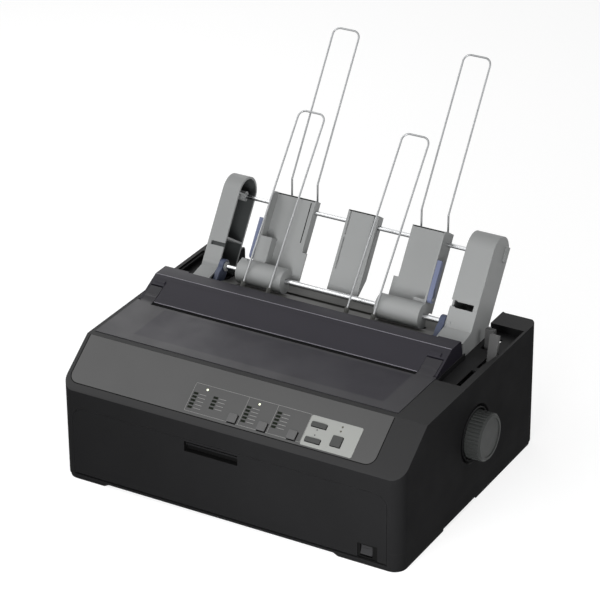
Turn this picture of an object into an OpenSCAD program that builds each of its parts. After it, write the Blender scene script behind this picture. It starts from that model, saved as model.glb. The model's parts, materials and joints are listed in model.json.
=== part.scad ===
// Dot matrix printer with a cut-sheet feeder on its rear deck.
// Millimetres. X runs to the right, Y from the front to the rear, Z up.
// Inside the modules y = 0 is the front face and x = 0 the middle of the body; placed() then
// moves every piece so that the origin is the middle of the whole footprint, on the floor.

/* [Body] */
// Width of the body without the knob
body_w = 410; // [396:1:440]
// Depth of the body
body_d = 315; // [306:1:345]
// Height of the flat deck above the floor
deck_h = 149; // [147:1:156]
// Height of the vertical front face
front_h = 111; // [104:1:113]
// Depth from the front face to the top of the sloping front
crease_y = 54.5; // [48:0.5:56]
// Radius of the upright corners of the body
corner_r = 14; // [10:1:16]
// Wall of the moulded housing
wall = 2.8; // [2.2:0.1:3.2]
// Height of the seam between the lower case and the housing
seam_z = 22; // [20:1:24]
// Height of the case's underside above the floor, between the feet
under_z = 5; // [4:0.5:6]

/* [Front cover] */
// Gap between the body's left edge and the front cover
cover_left = 13; // [11:0.5:16]
// Gap between the body's right edge and the front cover
cover_right = 16.5; // [15:0.5:20]
// Height of the front cover's top edge
cover_top = 89.3; // [84:0.5:92]
// Radius of the front cover's upper corners
cover_r = 15; // [10:1:18]
// Width of the finger slot
slot_w = 65; // [50:1:80]
// Height of the finger slot
slot_h = 12.2; // [10:0.2:14]
// Width of the rocker switch's window
switch_w = 22.3; // [20:0.1:26]
// Height of the rocker switch's window
switch_h = 16.1; // [14:0.1:18]

/* [Control panel] */
// Width left to the right of the panel and the lid
right_band = 37; // [34:0.5:40]
// Thickness of the panel
panel_t = 2.2; // [1.8:0.1:2.6]
// Width of the light label plate
label_w = 60; // [58:1:64]
// Height of the light label plate, measured up the slope
label_h = 35; // [33:1:38]
// Side of a square button
square_btn = 9.8; // [8:0.2:11]
// How far a button moves when pressed
press = 0.8; // [0.6:0.1:1.2]

/* [Lid and hump] */
// Distance from the front face to the lid's front edge
lid_y = 62; // [61:0.5:64]
// Distance from the front face to the hump's front edge
hump_y = 148.3; // [147:0.5:150]
// Distance from the front face to the hump's ridge
ridge_y = 183; // [180:1:186]
// Height of the hump's ridge above the deck
ridge_up = 16.5; // [14:0.5:18]
// Distance from the front face to the hump's rear edge
hump_back = 201; // [198:0.5:203]
// Thickness of the lid
lid_t = 2.5; // [2:0.1:3]

/* [Cut-sheet feeder] */
// Tilt of the feeder above the horizontal, in degrees
feeder_tilt = 56.3; // [55:0.1:58]
// Distance from the front face to the drive shaft
shaft_y = 239.4; // [238.5:0.1:241]
// Height of the drive shaft above the deck
shaft_up = 13.5; // [13.3:0.1:14.5]
// Distance up the slope between the two shafts
shaft_gap = 82.5; // [76:0.5:90]
// Diameter of the drive shaft
drive_d = 6; // [5.6:0.1:6.4]
// Diameter of the upper shaft
upper_d = 5; // [4.6:0.1:5.6]
// Width of an arm across its side, square to the slope
arm_depth = 42; // [40:0.5:44]
// Thickness of the left arm
left_arm_w = 21; // [19:0.5:23]
// Thickness of the right arm
right_arm_w = 32; // [28:0.5:34]
// Depth of a hopper box behind its paper face
box_d = 12; // [10:0.5:13]
// Height of a hopper's side guide in front of its paper face
guide_h = 13; // [11:0.5:14]
// Width of the left hopper
left_hopper_w = 49.7; // [46:0.1:54]
// Width of the right hopper
right_hopper_w = 45; // [42:0.5:49]
// Width of the centre support
centre_w = 38; // [34:1:42]
// Radius of a roller housing
housing_r = 14; // [13.6:0.1:14]
// Diameter of the wire of the paper supports
wire_d = 2.2; // [1.8:0.1:2.4]
// Width of a wire support between the middles of its legs
wire_w = 32.5; // [28:0.5:34]
// Length of the rear wires above their bend
rear_wire_l = 176.5; // [120:0.5:200]
// Length of the front wires above the guide
front_wire_l = 203; // [150:1:230]
// Tilt of the front wires above the horizontal, in degrees
front_wire_tilt = 51; // [49:0.5:52]

/* [Paper feed] */
// Distance from the front face to the platen's axis
platen_y = 165.2; // [164.5:0.1:166]
// Height of the platen's axis
platen_z = 83.5; // [82.5:0.1:84.5]
// Radius of the platen
platen_r = 18; // [16:0.5:19]
// Diameter of the platen's shaft
platen_shaft_d = 8; // [7:0.5:9]
// Radius of the feed knob
knob_r = 26.5; // [24:0.5:28]
// How far the feed knob stands out of the side
knob_out = 17.8; // [14:0.1:20]
// Number of flutes round the knob
flutes = 40; // [24:1:48]
// Width of all the gears
gear_w = 6; // [5:0.5:7]

/* [Fits] */
// Radial clearance of a shaft in a bore
run_fit = 0.06; // [0.02:0.01:0.1]
// Gap between two mouldings
gap = 0.4; // [0.3:0.05:0.6]

/* [Hidden] */
$fn = 64;
half_w = body_w / 2;
org_x = knob_out / 2;
slope_a = atan2(deck_h - front_h, crease_y - 2);
slope_l = (deck_h - front_h) / sin(slope_a);
edge_r = 8;
floor_z = under_z + wall;
// top of the narrow strip under the front cover
strip_z = under_z + 1.2;
pads = [[-half_w + 32, 24], [half_w - 30, 24], [half_w - 30, body_d - 40], [-half_w + 30, body_d - 40]];
pad_sink = 1.6;
// the panel, the lid and the hump share these two sides
open_l = -half_w + 4.5;
open_r = half_w - right_band;
panel_v0 = 6.5;
panel_r = 11;
sill_z = deck_h - lid_t + 0.1;
lid_top = deck_h + 0.5;
ridge_z = deck_h + ridge_up;
shelf_z = deck_h - 9;
// the deck behind the feeder's arms, and the open rear between its two shoulders
shoulder_y = shaft_y + 45;
rear_l = half_w - 42;
rear_r = half_w - 42.5;
rear_top = 104;
inlet_x = -half_w + 60;
inlet_z = 44;
port_x = 70;
port_z = 42;
// the front cover, its hinge and its finger slot
pin_r = 1.6;
pin_l = 3.6;
hinge_y = 4;
hinge_z = strip_z + 5.4;
cover_low = strip_z + 2.4;
cover_x0 = -half_w + cover_left;
cover_x1 = half_w - cover_right;
slot_x0 = (cover_x0 + cover_x1) / 2 - slot_w / 2 - 17.7;
slot_z0 = cover_top - 15.1;
// the power switch
switch_x1 = half_w - 27.7;
switch_x0 = switch_x1 - switch_w;
switch_z1 = cover_low + 0.5 + switch_h;
rocker_x0 = switch_x0 + 3;
rocker_x1 = switch_x1 - 5.8;
rocker_z = switch_z1 - switch_h / 2;
rocker_h = switch_h / 2 - 1.8;
rocker_z0 = rocker_z - rocker_h;
rocker_z1 = rocker_z + rocker_h;
// buttons and lamps: middle along the slope's frame, width and height, and colour
btn_gap = 0.35;
label_x0 = open_r - 86;
label_v0 = 8.5;
sq_x0 = label_x0 - 83;
sq_v = 15.8;
buttons = [
    [label_x0 + 12, label_v0 + 25.3, 17.5, 5.3, "#8d908d"],
    [label_x0 + 12, label_v0 + 7.6, 17.5, 5.3, "#8d908d"],
    [label_x0 + 37.5, label_v0 + 13.3, 11.7, 11.7, "#8d908d"],
    [sq_x0, sq_v, square_btn, square_btn, "#333336"],
    [sq_x0 + 35.4, sq_v, square_btn, square_btn, "#333336"],
    [sq_x0 + 71, sq_v, square_btn, square_btn, "#333336"]];
lamps = [
    [label_x0 + 37.2, label_v0 + 30.2, 1.2], [label_x0 + 37.2, label_v0 + 25.2, 1.2],
    [sq_x0 - 40.6, 38.7, 1.2], [sq_x0 + 22.2, 38.7, 1.2]];
// columns of small windows: middle, height of the lowest and number in the column
window_w = 5.4;
window_h = 2.6;
window_pitch = 4.1;
window_columns = [[sq_x0 - 51.5, 15.3, 5], [sq_x0 - 27.8, 20.2, 4], [sq_x0 + 12.5, 16, 5], [sq_x0 + 47.6, 19, 5]];
// the lid's ears and hinge
lid_back = hump_y - 1.3;
ear_y = hump_y + 9;
ear_z = deck_h + 1;
ear_l0 = open_l + 4.6;
ear_l1 = ear_l0 + 15;
ear_r1 = open_r - 3.8;
ear_r0 = ear_r1 - 19;
ear_lip = deck_h + 13;
hump_end = hump_back + 7.5;
// the feeder, in its own tilted frame: u up the slope and w square to it, from the drive shaft
shaft_z = deck_h + shaft_up;
arm_w1 = 5.7;
arm_w0 = arm_w1 - arm_depth;
arm_mid = (arm_w0 + arm_w1) / 2;
arm_top_r = arm_depth / 2;
arm_top_u = shaft_gap + 1.5;
upper_w = -17;
face_w = -11;
box_w = face_w - box_d;
hopper_top = shaft_gap + 12.5;
skin = 2.2;
left_out = -half_w + 35;
left_in = left_out + left_arm_w;
right_out = half_w - 40;
right_in = right_out - right_arm_w;
lh_x0 = left_in + 37.3;
lh_x1 = lh_x0 + left_hopper_w;
rh_x1 = right_in - 30;
rh_x0 = rh_x1 - right_hopper_w;
cs_x0 = (left_in + right_in) / 2 - centre_w / 2 + 6;
cs_x1 = cs_x0 + centre_w;
housing_in = housing_r - 2;
roller_r = housing_r - 3.3;
foot_low = shelf_z - shaft_z;
guide_x0 = left_in + 9;
guide_x1 = right_in - 10;
low_u = 4;
lever_t = 5.5;
hub_r = drive_d / 2 + 2.2;
// the wires: the rear ones stand on the hoppers, the front ones in the guide
wire_y = shaft_y - 21.2;
wire_z = shaft_z - 0.5;
lw_mid = lh_x0 + 30.6;
rw_mid = rh_x0 + 22.6;
front_legs = [lh_x0 + 4.7, lh_x0 + 4.7 + wire_w, rh_x0 - 35.3, rh_x0 - 35.3 + wire_w];
rear_wire_u = hopper_top + 18;
rear_wire_w = face_w + 2;
wire_seat = box_w + 2.6;
wire_bend = 8;
bend_a = atan2(rear_wire_w - wire_seat, rear_wire_u - hopper_top);
bend_l = norm([rear_wire_w - wire_seat, rear_wire_u - hopper_top]);
rear_wire_top = rear_wire_u + rear_wire_l;
org_y = (shaft_y + (rear_wire_top - wire_d / 2) * cos(feeder_tilt) - rear_wire_w * sin(feeder_tilt)
    + wire_d / 2) / 2;
// the paper feed
frame_t = 2;
frame_l0 = left_out + 4;
frame_r0 = right_in + 17;
platen_x0 = frame_l0 + 16;
platen_x1 = frame_r0 - 22;
gear_m = 1;
gear_x1 = frame_r0 - 2.4;
gear_x0 = gear_x1 - gear_w;
platen_teeth = 40;
pinion_teeth = 12;
pinion_a = -120;
pinion_d = gear_m * (platen_teeth + pinion_teeth) / 2;
pinion_y = platen_y + pinion_d * cos(pinion_a);
pinion_z = platen_z + pinion_d * sin(pinion_a);
pinion_turn = meshed(0, platen_teeth, pinion_teeth, pinion_a);
dish_r = knob_r + 9.5;
dish_in = knob_r + 2.5;
dish_d = 6.6;
knob_x0 = half_w - dish_d + 0.9;
knob_x1 = half_w + knob_out;
// the boards and the transformer on the floor
core_x = -half_w + 53;
core_y = body_d - 115;
board_x0 = core_x + 82;
board_x1 = frame_r0 - 30;
board_y0 = body_d - 127;
board_y1 = body_d - 15;
frame_end = body_d - 55;
// the printing mechanism
rod_y = 112;
rod_z = 60;
rod_r = 5;
head_x = platen_x0 + 42;
head_tip = platen_y - platen_r - 2.6;
belt_y = 92;
belt_z0 = 56;
belt_z1 = 62;
pulley_r = 6;
pulley_l = frame_l0 + 16;
pulley_r_x = frame_r0 - 20;
// the levers beside the hump
lever_x1 = half_w - 6.5;
lever_x0 = lever_x1 - 11;
lever_y = hump_y + 74;
lever_z = shaft_z - 44;
post_x1 = half_w - 22;
post_x0 = post_x1 - 11;
post_y = hump_y + 104;

// ---- shapes used by several pieces ----

// moves a piece from the body's frame to the middle of the footprint
module placed() translate([-org_x, -org_y, 0]) children();
// a box between two corners
module block(a, b) translate(a) cube(b - a);
// a rod along X
module rod(x0, x1, y, z, r) translate([x0, y, z]) rotate([0, 90, 0]) cylinder(h = x1 - x0, r = r);
// a flat shape drawn in Y and Z, pushed along X
module along_x(x0, x1) translate([x0, 0, 0]) rotate([90, 0, 90]) linear_extrude(x1 - x0) children();
// a flat shape drawn in X and Z, pushed along Y
module along_y(y0, y1) translate([0, y1, 0]) rotate([90, 0, 0]) linear_extrude(y1 - y0) children();
// the sloping front's frame: x along it, y up the slope, z square to it
module sloped() translate([0, 2, front_h]) rotate([slope_a, 0, 0]) children();
// the feeder's frame: x along the shafts, y up the tilt, z square to it
module tilted() translate([0, shaft_y, shaft_z]) rotate([feeder_tilt, 0, 0]) children();
// a rectangle with four round corners
module rounded(x0, y0, x1, y1, r) {
    translate([x0 + r, y0]) square([x1 - x0 - 2 * r, y1 - y0]);
    translate([x0, y0 + r]) square([x1 - x0, y1 - y0 - 2 * r]);
    for (x = [x0 + r, x1 - r], y = [y0 + r, y1 - r]) translate([x, y]) circle(r);
}

// where the inside face of the slope, t under the outside, lies
function slope_z(y, t) = front_h - t * cos(slope_a) + (y - 2 - t * sin(slope_a)) * tan(slope_a);
function slope_y(z, t) = 2 + t * sin(slope_a) + (z - front_h + t * cos(slope_a)) / tan(slope_a);

// the turn that lets the teeth of gear b fall into the gaps of gear a
function meshed(turn_a, teeth_a, teeth_b, way) =
    way + 180 - (0.5 - (way - turn_a) * teeth_a / 360) * 360 / teeth_b;
function gear_outline(teeth, turn) = [
    for (i = [0:teeth - 1], p = [[-0.34, -1.15], [-0.11, 0.8], [0.11, 0.8], [0.34, -1.15]])
        let (a = turn + (i + p[0]) * 360 / teeth, r = gear_m * (teeth / 2 + p[1]))
            [r * cos(a), r * sin(a)]];
module gear(x0, x1, y, z, teeth, turn, bore)
    along_x(x0, x1) translate([y, z]) difference() {
        polygon(gear_outline(teeth, turn));
        circle(bore);
    }

// the outline of the housing from the side, t inside its outer face
module side_outline(t) polygon([
    [t, seam_z - (t > 0 ? 1 : 0)],
    [t, t > 0 ? slope_z(t, t) : front_h - 2],
    t > 0 ? [t + 0.1, slope_z(t + 0.1, t)] : [2, front_h],
    [slope_y(deck_h - t, t), deck_h - t],
    [body_d - t - 2, deck_h - t],
    [body_d - t, deck_h - t - 2],
    [body_d - t, seam_z - (t > 0 ? 1 : 0)]]);

// the plan of the body, t inside its outer face
module plan(t, z0, z1) translate([0, 0, z0]) linear_extrude(z1 - z0)
    rounded(-half_w + t, t, half_w - t, body_d - t, corner_r - t);

// the lower case filled in, t inside its outer face
module case_block(t, top) intersection() {
    plan(t, under_z + t, top);
    along_y(-1, body_d + 1) rounded(-half_w + t, under_z + t, half_w - t, 60, edge_r - t);
    along_x(-half_w - 1, half_w + 1) rounded(t, under_z + t, body_d - t, 60, edge_r - t);
}

// the shape of the front cover's opening, g inside it
module cover_outline(g, low) intersection() {
    rounded(cover_x0 + g, low - 40, cover_x1 - g, cover_top - g, cover_r - g);
    translate([-half_w, low]) square([body_w, 200]);
}

// ---- the case ----

module foot_block(x0, x1, y0, y1) along_y(y0, y1)
    polygon([[x0, floor_z], [x0 + 2.5, 0.6], [x1 - 2.5, 0.6], [x1, floor_z]]);

module lower_case() color("#26262a") placed() {
    difference() {
        union() {
            difference() {
                case_block(0, seam_z);
                case_block(wall, seam_z + 1);
            }
            foot_block(cover_x0, cover_x0 + 37, 6, 44);
            foot_block(half_w - 79, half_w - 5, 6, 94);
            foot_block(half_w - 60, half_w - 5, 172, body_d - 13);
            foot_block(-half_w + 5, -half_w + 60, 172, body_d - 13);
            // the bosses of the cover's hinge, beside its opening
            for (x = [cover_x0 - 5, cover_x1]) block([x, 2, floor_z - 1], [x + 5, 9, hinge_z + 4.5]);
            // a stop rib behind the cover's lower edge
            block([cover_x0, 12, under_z], [cover_x1, 14, seam_z - 4]);
        }
        // the opening of the front cover and the free room behind its lower edge
        block([cover_x0, -1, strip_z], [cover_x1, 11, seam_z + 1]);
        for (x = [cover_x0 - pin_l - 0.6, cover_x1 - 1]) rod(x, x + pin_l + 1.6, hinge_y, hinge_z, pin_r + run_fit);
        // the power switch stands in the stop rib
        block([switch_x0 + 1.6, 11.5, 10.2], [switch_x1 - 1.6, 14.5, seam_z + 1]);
        // the seats of the rubber pads
        for (p = pads) translate([p[0], p[1], -1]) cylinder(h = 1 + pad_sink, r = 8.05);
        // cooling slots in the floor
        for (i = [0:11]) block([-150 + i * 12, 120, 0], [-146 + i * 12, 160, 20]);
    }
    for (x = [board_x0 + 8, board_x1 - 8], y = [board_y0 + 8, board_y1 - 8])
        translate([x, y, floor_z - 0.5]) cylinder(h = 9, r = 4);
}

module rubber_feet() color("#141414") placed()
    for (p = pads) translate([p[0], p[1], 0]) cylinder(h = pad_sink, r = 8);

// the panel's seat in the slope: its lower corners are round, its upper ones square
module panel_outline(g) {
    translate([open_l + g, panel_v0 + panel_r]) square([open_r - open_l - 2 * g, slope_l - panel_v0 - panel_r - g]);
    rounded(open_l + g, panel_v0 + g, open_r - g, panel_v0 + 3 * panel_r, panel_r - g);
}

module upper_housing() color("#222225") placed() difference() {
    union() {
        difference() {
            intersection() {
                plan(0, seam_z, deck_h);
                along_x(-half_w, half_w) side_outline(0);
            }
            intersection() {
                plan(wall, seam_z - 1, deck_h - wall);
                along_x(-half_w, half_w) side_outline(wall);
            }
            // the deck is open over the mechanism and for the feeder's arms
            block([open_l, lid_y, deck_h - wall - 1], [open_r, shoulder_y, deck_h + 1]);
            block([-rear_l, shoulder_y - 1, deck_h - wall - 1], [rear_r, body_d - wall - 0.1, deck_h + 1]);
            block([-rear_l, body_d - wall - 0.2, rear_top], [rear_r, body_d + 1, deck_h + 1]);
            translate([0, 0, deck_h - wall - 1]) linear_extrude(wall + 2) polygon([
                [open_r - 1, hump_y - 5], [half_w - 8, hump_y - 5], [half_w - 8, hump_y + 47],
                [half_w - 4, hump_y + 71], [half_w - wall, hump_y + 80],
                [half_w - wall, shoulder_y], [open_r - 1, shoulder_y]]);
            // the opening of the front cover
            along_y(-1, wall + 0.1) cover_outline(0, 0);
            // the round recess of the knob
            rod(half_w - wall - 1, half_w + 1, platen_y, platen_z, dish_r - 0.02);
            // the panel's seat
            sloped() translate([0, 0, -panel_t]) linear_extrude(20) panel_outline(0);
            sloped() translate([0, 0, -wall - 1]) linear_extrude(20)
                rounded(open_l + 5, panel_v0 + 2.4, open_r - 5, slope_l - 5, 6);
        }
        // the ledge that carries the panel
        sloped() translate([0, 0, -panel_t - 2.6]) linear_extrude(2.6) difference() {
            panel_outline(-0.6);
            rounded(open_l + 5, panel_v0 + 2.4, open_r - 5, slope_l - 5, 6);
        }
        // the sill under the lid, wide at the left and at the front
        difference() {
            block([-half_w + 1, crease_y + 1, sill_z - 2.4], [open_r + 1, hump_y + 8, sill_z]);
            block([-half_w + 45, 75, sill_z - 5], [open_r - 24, hump_y + 9, sill_z + 1]);
            block([open_l + 3, hump_y - 2, sill_z - 5], [open_r - 2, hump_y + 9, sill_z + 1]);
        }
        block([-half_w + 1, hump_y + 7, sill_z - 2.4], [open_l + 2.6, shoulder_y, sill_z]);
        // the lowered deck beside and behind the hump
        difference() {
            union() {
                block([open_r - 1.6, hump_y - 7, shelf_z - 2.4], [half_w - 1, shoulder_y + 1, shelf_z]);
                block([right_in + 1, hump_end + 3, shelf_z - 2.4], [half_w - 1, shoulder_y + 1, shelf_z]);
                block([-half_w + 1, hump_end + 3, shelf_z - 2.4], [left_in - 1, shoulder_y + 1, shelf_z]);
            }
            block([half_w - 20, hump_y - 4, 100], [half_w - 7, hump_y + 47, deck_h]);
            block([lever_x0 - 1, hump_y + 54, 100], [lever_x1 + 1, hump_y + 92, deck_h]);
            block([post_x0 - 1, hump_y + 94, 100], [post_x1 + 1, hump_y + 122, deck_h]);
        }
        block([open_r, hump_y - 7, shelf_z - 1], [half_w - 1, hump_y - 5, deck_h - 1]);
        block([open_r - 1.6, hump_y - 7, shelf_z - 1], [open_r + 0.1, hump_end + 4, sill_z]);
        block([-rear_l - 2, shoulder_y, shelf_z - 2.4], [-rear_l, body_d - 1, deck_h]);
        block([rear_r, shoulder_y, shelf_z - 2.4], [rear_r + 2, body_d - 1, deck_h]);
        block([-half_w + 1, shoulder_y, shelf_z - 2.4], [-rear_l, shoulder_y + 2, deck_h]);
        block([rear_r, shoulder_y, shelf_z - 2.4], [half_w - 1, shoulder_y + 2, deck_h]);
        // the dish of the knob
        difference() {
            translate([half_w - dish_d - wall, platen_y, platen_z]) rotate([0, 90, 0])
                cylinder(h = dish_d + wall, r1 = dish_in + 1, r2 = dish_r);
            translate([half_w - dish_d, platen_y, platen_z]) rotate([0, 90, 0])
                cylinder(h = dish_d + 0.1, r1 = dish_in, r2 = dish_r - wall + 0.2);
            rod(half_w - 20, half_w, platen_y, platen_z, platen_shaft_d / 2 + 0.8);
        }
    }
    // sockets in the rear wall
    block([inlet_x - 13.7, body_d - 4, inlet_z - 9.9], [inlet_x + 13.7, body_d + 1, inlet_z + 9.9]);
    block([port_x - 34, body_d - 4, port_z - 7.6], [port_x + 34, body_d + 1, port_z + 7.6]);
    // cooling slots in the rear wall and in the left side
    for (i = [0:9]) block([-30 + i * 9, body_d - 5, 74], [-25.5 + i * 9, body_d + 1, 96]);
    for (i = [0:13]) block([-half_w - 1, 190 + i * 7, 60], [-half_w + 5, 193.5 + i * 7, 92]);
}

module front_cover() color("#2a2a2d") placed() {
    difference() {
        union() {
            along_y(0, 2.8) cover_outline(gap, cover_low);
            // stiffening ribs behind the face
            for (z = [34, 62]) block([cover_x0 + 8, 2.6, z], [cover_x1 - 8, 6, z + 1.8]);
            for (i = [0:5]) translate([cover_x0 + 30 + i * (cover_x1 - cover_x0 - 80) / 5, 2.6, 28]) cube([1.8, 3.4, 56]);
            // knuckles of the hinge, with a pin standing out at each end
            for (x = [cover_x0 + gap, cover_x1 - 7.4 - gap]) {
                rod(x, x + 7.4, hinge_y, hinge_z, 3.2);
                block([x, 1, hinge_z - 2.4], [x + 7.4, hinge_y, hinge_z + 3.2]);
            }
            rod(cover_x0 - pin_l, cover_x0 + 4, hinge_y, hinge_z, pin_r);
            rod(cover_x1 - 4, cover_x1 + pin_l, hinge_y, hinge_z, pin_r);
            // the grip behind the finger slot
            block([slot_x0 - 2, 2.6, slot_z0 - 2], [slot_x0 + slot_w + 2, 9, slot_z0 + slot_h + 2]);
        }
        block([slot_x0, -1, slot_z0], [slot_x0 + slot_w, 7.4, slot_z0 + slot_h]);
        // the window round the power switch
        block([switch_x0 - gap, -1, 0], [switch_x1 + gap, 12, switch_z1 + gap]);
    }
    block([slot_x0, 3.6, slot_z0 + slot_h * 0.55], [slot_x0 + slot_w, 8, slot_z0 + slot_h * 0.55 + 1.6]);
}

module switch_body() color("#1b1b1d") placed() difference() {
    union() {
        block([switch_x0, 0.6, cover_low + 0.4], [switch_x1, 9.4, switch_z1]);
        block([switch_x0 + 2, 9, 10.5], [switch_x1 - 2, 26, switch_z1 - 2]);
    }
    block([rocker_x0 - gap, -1, rocker_z0 - gap], [rocker_x1 + gap, 8, rocker_z1 + gap]);
    rod(rocker_x0 - 2, rocker_x1 + 2, 6.4, rocker_z, 1.2 + run_fit);
}

module rocker_switch() color("#3a3a3d") placed() {
    difference() {
        along_x(rocker_x0, rocker_x1) polygon([
            [5.6, rocker_z + rocker_h - 1.2], [2.9, rocker_z + rocker_h - 1.2], [1.6, rocker_z],
            [0.3, rocker_z - rocker_h + 1.9], [5.4, rocker_z - rocker_h + 1.2],
            [7.2, rocker_z - 1.4], [7.6, rocker_z], [7.2, rocker_z + 1.4]]);
        block([rocker_x0 + 3, -2, rocker_z + 2.4], [rocker_x1 - 3, 2.6, rocker_z + 3.2]);
    }
    rod(rocker_x0 - 1.8, rocker_x1 + 1.8, 6.4, rocker_z, 1.2);
}

// ---- the control panel ----

// the small windows of the indicator columns, each g larger all round
module windows(g) for (c = window_columns, i = [0:c[2] - 1])
    translate([c[0] - window_w / 2 - g, c[1] + i * window_pitch - window_h / 2 - g])
        square([window_w + 2 * g, window_h + 2 * g]);

module control_panel() color("#303034") placed() sloped() difference() {
    translate([0, 0, -panel_t]) linear_extrude(panel_t) panel_outline(0.25);
    // the seat of the label plate
    translate([0, 0, -0.6]) linear_extrude(2) rounded(label_x0, label_v0, label_x0 + label_w, label_v0 + label_h, 2);
    for (b = buttons) translate([0, 0, -10]) linear_extrude(12)
        rounded(b[0] - b[2] / 2 - btn_gap, b[1] - b[3] / 2 - btn_gap, b[0] + b[2] / 2 + btn_gap, b[1] + b[3] / 2 + btn_gap, 1.4);
    for (p = lamps) translate([p[0], p[1], -10]) cylinder(h = 12, r = p[2]);
    translate([0, 0, -10]) linear_extrude(12) windows(0.05);
}

module indicator_windows() color("#0c0c0d") placed() sloped() {
    translate([0, 0, -panel_t]) linear_extrude(panel_t + 0.1) windows(0);
    // a thin strip behind each column holds its windows together
    for (c = window_columns) translate([c[0] - window_w / 2 - 1, c[1] - window_h, -panel_t - 1])
        cube([window_w + 2, window_pitch * (c[2] - 1) + 2 * window_h, 0.99]);
}

module button_plate() color("#b8bab6") placed() sloped() difference() {
    translate([0, 0, -0.6]) linear_extrude(0.9)
        rounded(label_x0 + 0.1, label_v0 + 0.1, label_x0 + label_w - 0.1, label_v0 + label_h - 0.1, 1.9);
    for (i = [0:2]) let (b = buttons[i]) translate([0, 0, -10]) linear_extrude(12)
        rounded(b[0] - b[2] / 2 - btn_gap, b[1] - b[3] / 2 - btn_gap, b[0] + b[2] / 2 + btn_gap, b[1] + b[3] / 2 + btn_gap, 1.4);
    for (p = lamps) translate([p[0], p[1], -10]) cylinder(h = 12, r = p[2]);
}

module push_button(b) color(b[4]) placed() sloped() {
    translate([0, 0, -6]) linear_extrude(7.2)
        rounded(b[0] - b[2] / 2, b[1] - b[3] / 2, b[0] + b[2] / 2, b[1] + b[3] / 2, 1);
    translate([0, 0, -6]) linear_extrude(1.6)
        rounded(b[0] - b[2] / 2 - 1.2, b[1] - b[3] / 2 - 1.2, b[0] + b[2] / 2 + 1.2, b[1] + b[3] / 2 + 1.2, 1);
    translate([b[0], b[1], -7.6]) cylinder(h = 2, r = 1.6);
}
module button_a() push_button(buttons[0]);
module button_b() push_button(buttons[1]);
module button_c() push_button(buttons[2]);
module button_d() push_button(buttons[3]);
module button_e() push_button(buttons[4]);
module button_f() push_button(buttons[5]);

module indicator_lights() color("#c8d8a0") placed() sloped()
    for (p = lamps) translate([p[0], p[1], -7]) cylinder(h = 7.2, r = p[2] - 0.1);

module panel_board() color("#2e5b3a") placed() sloped() {
    block([sq_x0 - 69, 5, -11.6], [label_x0 + label_w + 2, 46, -10]);
    for (b = buttons) block([b[0] - 3, b[1] - 3, -10.2], [b[0] + 3, b[1] + 3, -8.8]);
    for (p = lamps) translate([p[0], p[1], -10.2]) cylinder(h = 3.1, r = 0.6);
}

// ---- the lid, the hump and the rear guide ----

// the outline of the hump from the side, its rear edge at "back"
module hump_outline(back) polygon([
    [hump_y, sill_z], [hump_y, deck_h + 0.6], [hump_y + 12.5, deck_h + 5.6], [ridge_y, ridge_z],
    [back, ridge_z], [back + 1.6, ridge_z - 1.6], [back + 5.3, sill_z]]);
module hump_inside(back) polygon([
    [hump_y + 2.4, sill_z - 1], [hump_y + 2.4, deck_h - 1.2], [hump_y + 13.2, deck_h + 2.9],
    [ridge_y + 0.6, ridge_z - 2.4], [back - 1.8, ridge_z - 2.4], [back + 2.9, sill_z - 1]]);

module hump_cover() color("#46454b") placed() difference() {
    union() {
        difference() {
            union() {
                along_x(open_l + 1.5, open_r - 1) hump_outline(hump_back);
                along_x(open_l + 1.5, left_out + 2) hump_outline(hump_end - 5.3);
                along_x(right_in + 8, open_r - 1) hump_outline(hump_end - 5.3);
            }
            along_x(open_l + 3.9, open_r - 3.4) hump_inside(hump_back);
            along_x(open_l + 3.9, left_out - 0.4) hump_inside(hump_end - 5.3);
            along_x(right_in + 10.4, open_r - 3.4) hump_inside(hump_end - 5.3);
        }
        // the cheeks that carry the lid's pins
        for (x = [ear_l1 + gap, ear_r0 - gap - 2.4]) along_x(x, x + 2.4)
            polygon([[hump_y + 1, sill_z], [hump_y + 1, deck_h], [hump_y + 12.5, deck_h + 5],
                [hump_y + 26, deck_h + 11], [hump_y + 26, sill_z]]);
        // thin ribs across the hollow
        for (i = [0:4]) along_x(-120 + i * 60, -118 + i * 60) difference() {
            hump_outline(hump_back);
            translate([hump_y - 1, sill_z - 1]) square([100, 6]);
            translate([hump_back - 12, deck_h + 2]) square([30, 9]);
        }
        // the low lip behind each ear
        for (x = [ear_l0 + 2, ear_r0 + 1]) along_x(x, x + 13)
            polygon([[ear_y + 13, deck_h + 10], [ear_y + 15, ear_lip], [ear_y + 18, ear_lip + 1.2], [ear_y + 20, deck_h + 10]]);
    }
    // the pockets of the lid's ears and the bores of its pins
    block([ear_l0 - gap, hump_y - 1, sill_z - 1], [ear_l1 + gap, ear_y + 12.7, 200]);
    block([ear_r0 - gap, hump_y - 1, sill_z - 1], [ear_r1 + gap, ear_y + 12.7, 200]);
    rod(ear_l0 - 3, ear_l1 + 3, ear_y, ear_z, 2 + run_fit);
    rod(ear_r0 - 3, ear_r1 + 3, ear_y, ear_z, 2 + run_fit);
}

module lid_ear(x0, x1) {
    along_x(x0, x1) {
        polygon([[lid_back - 4, lid_top - lid_t], [lid_back - 4, lid_top], [hump_y + 1, lid_top + 0.6],
            [hump_y + 12.5, deck_h + 6], [ear_y + 10.6, deck_h + 9.4], [ear_y + 10.6, deck_h + 6.6],
            [ear_y + 4, deck_h + 3.4], [ear_y, deck_h - 1], [lid_back + 3, deck_h - 1]]);
        translate([ear_y, ear_z]) circle(3.6);
    }
    rod(x0 - 2.2, x1 + 2.2, ear_y, ear_z, 2);
}

module lid() color("#3a3840") placed() {
    difference() {
        block([open_l + gap, lid_y + gap, lid_top - lid_t], [open_r - gap, lid_back, lid_top]);
        block([-half_w + 46, 76, lid_top - lid_t - 1], [open_r - 25, lid_back - 8, lid_top - 1.5]);
    }
    lid_ear(ear_l0, ear_l1);
    lid_ear(ear_r0, ear_r1);
}

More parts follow.
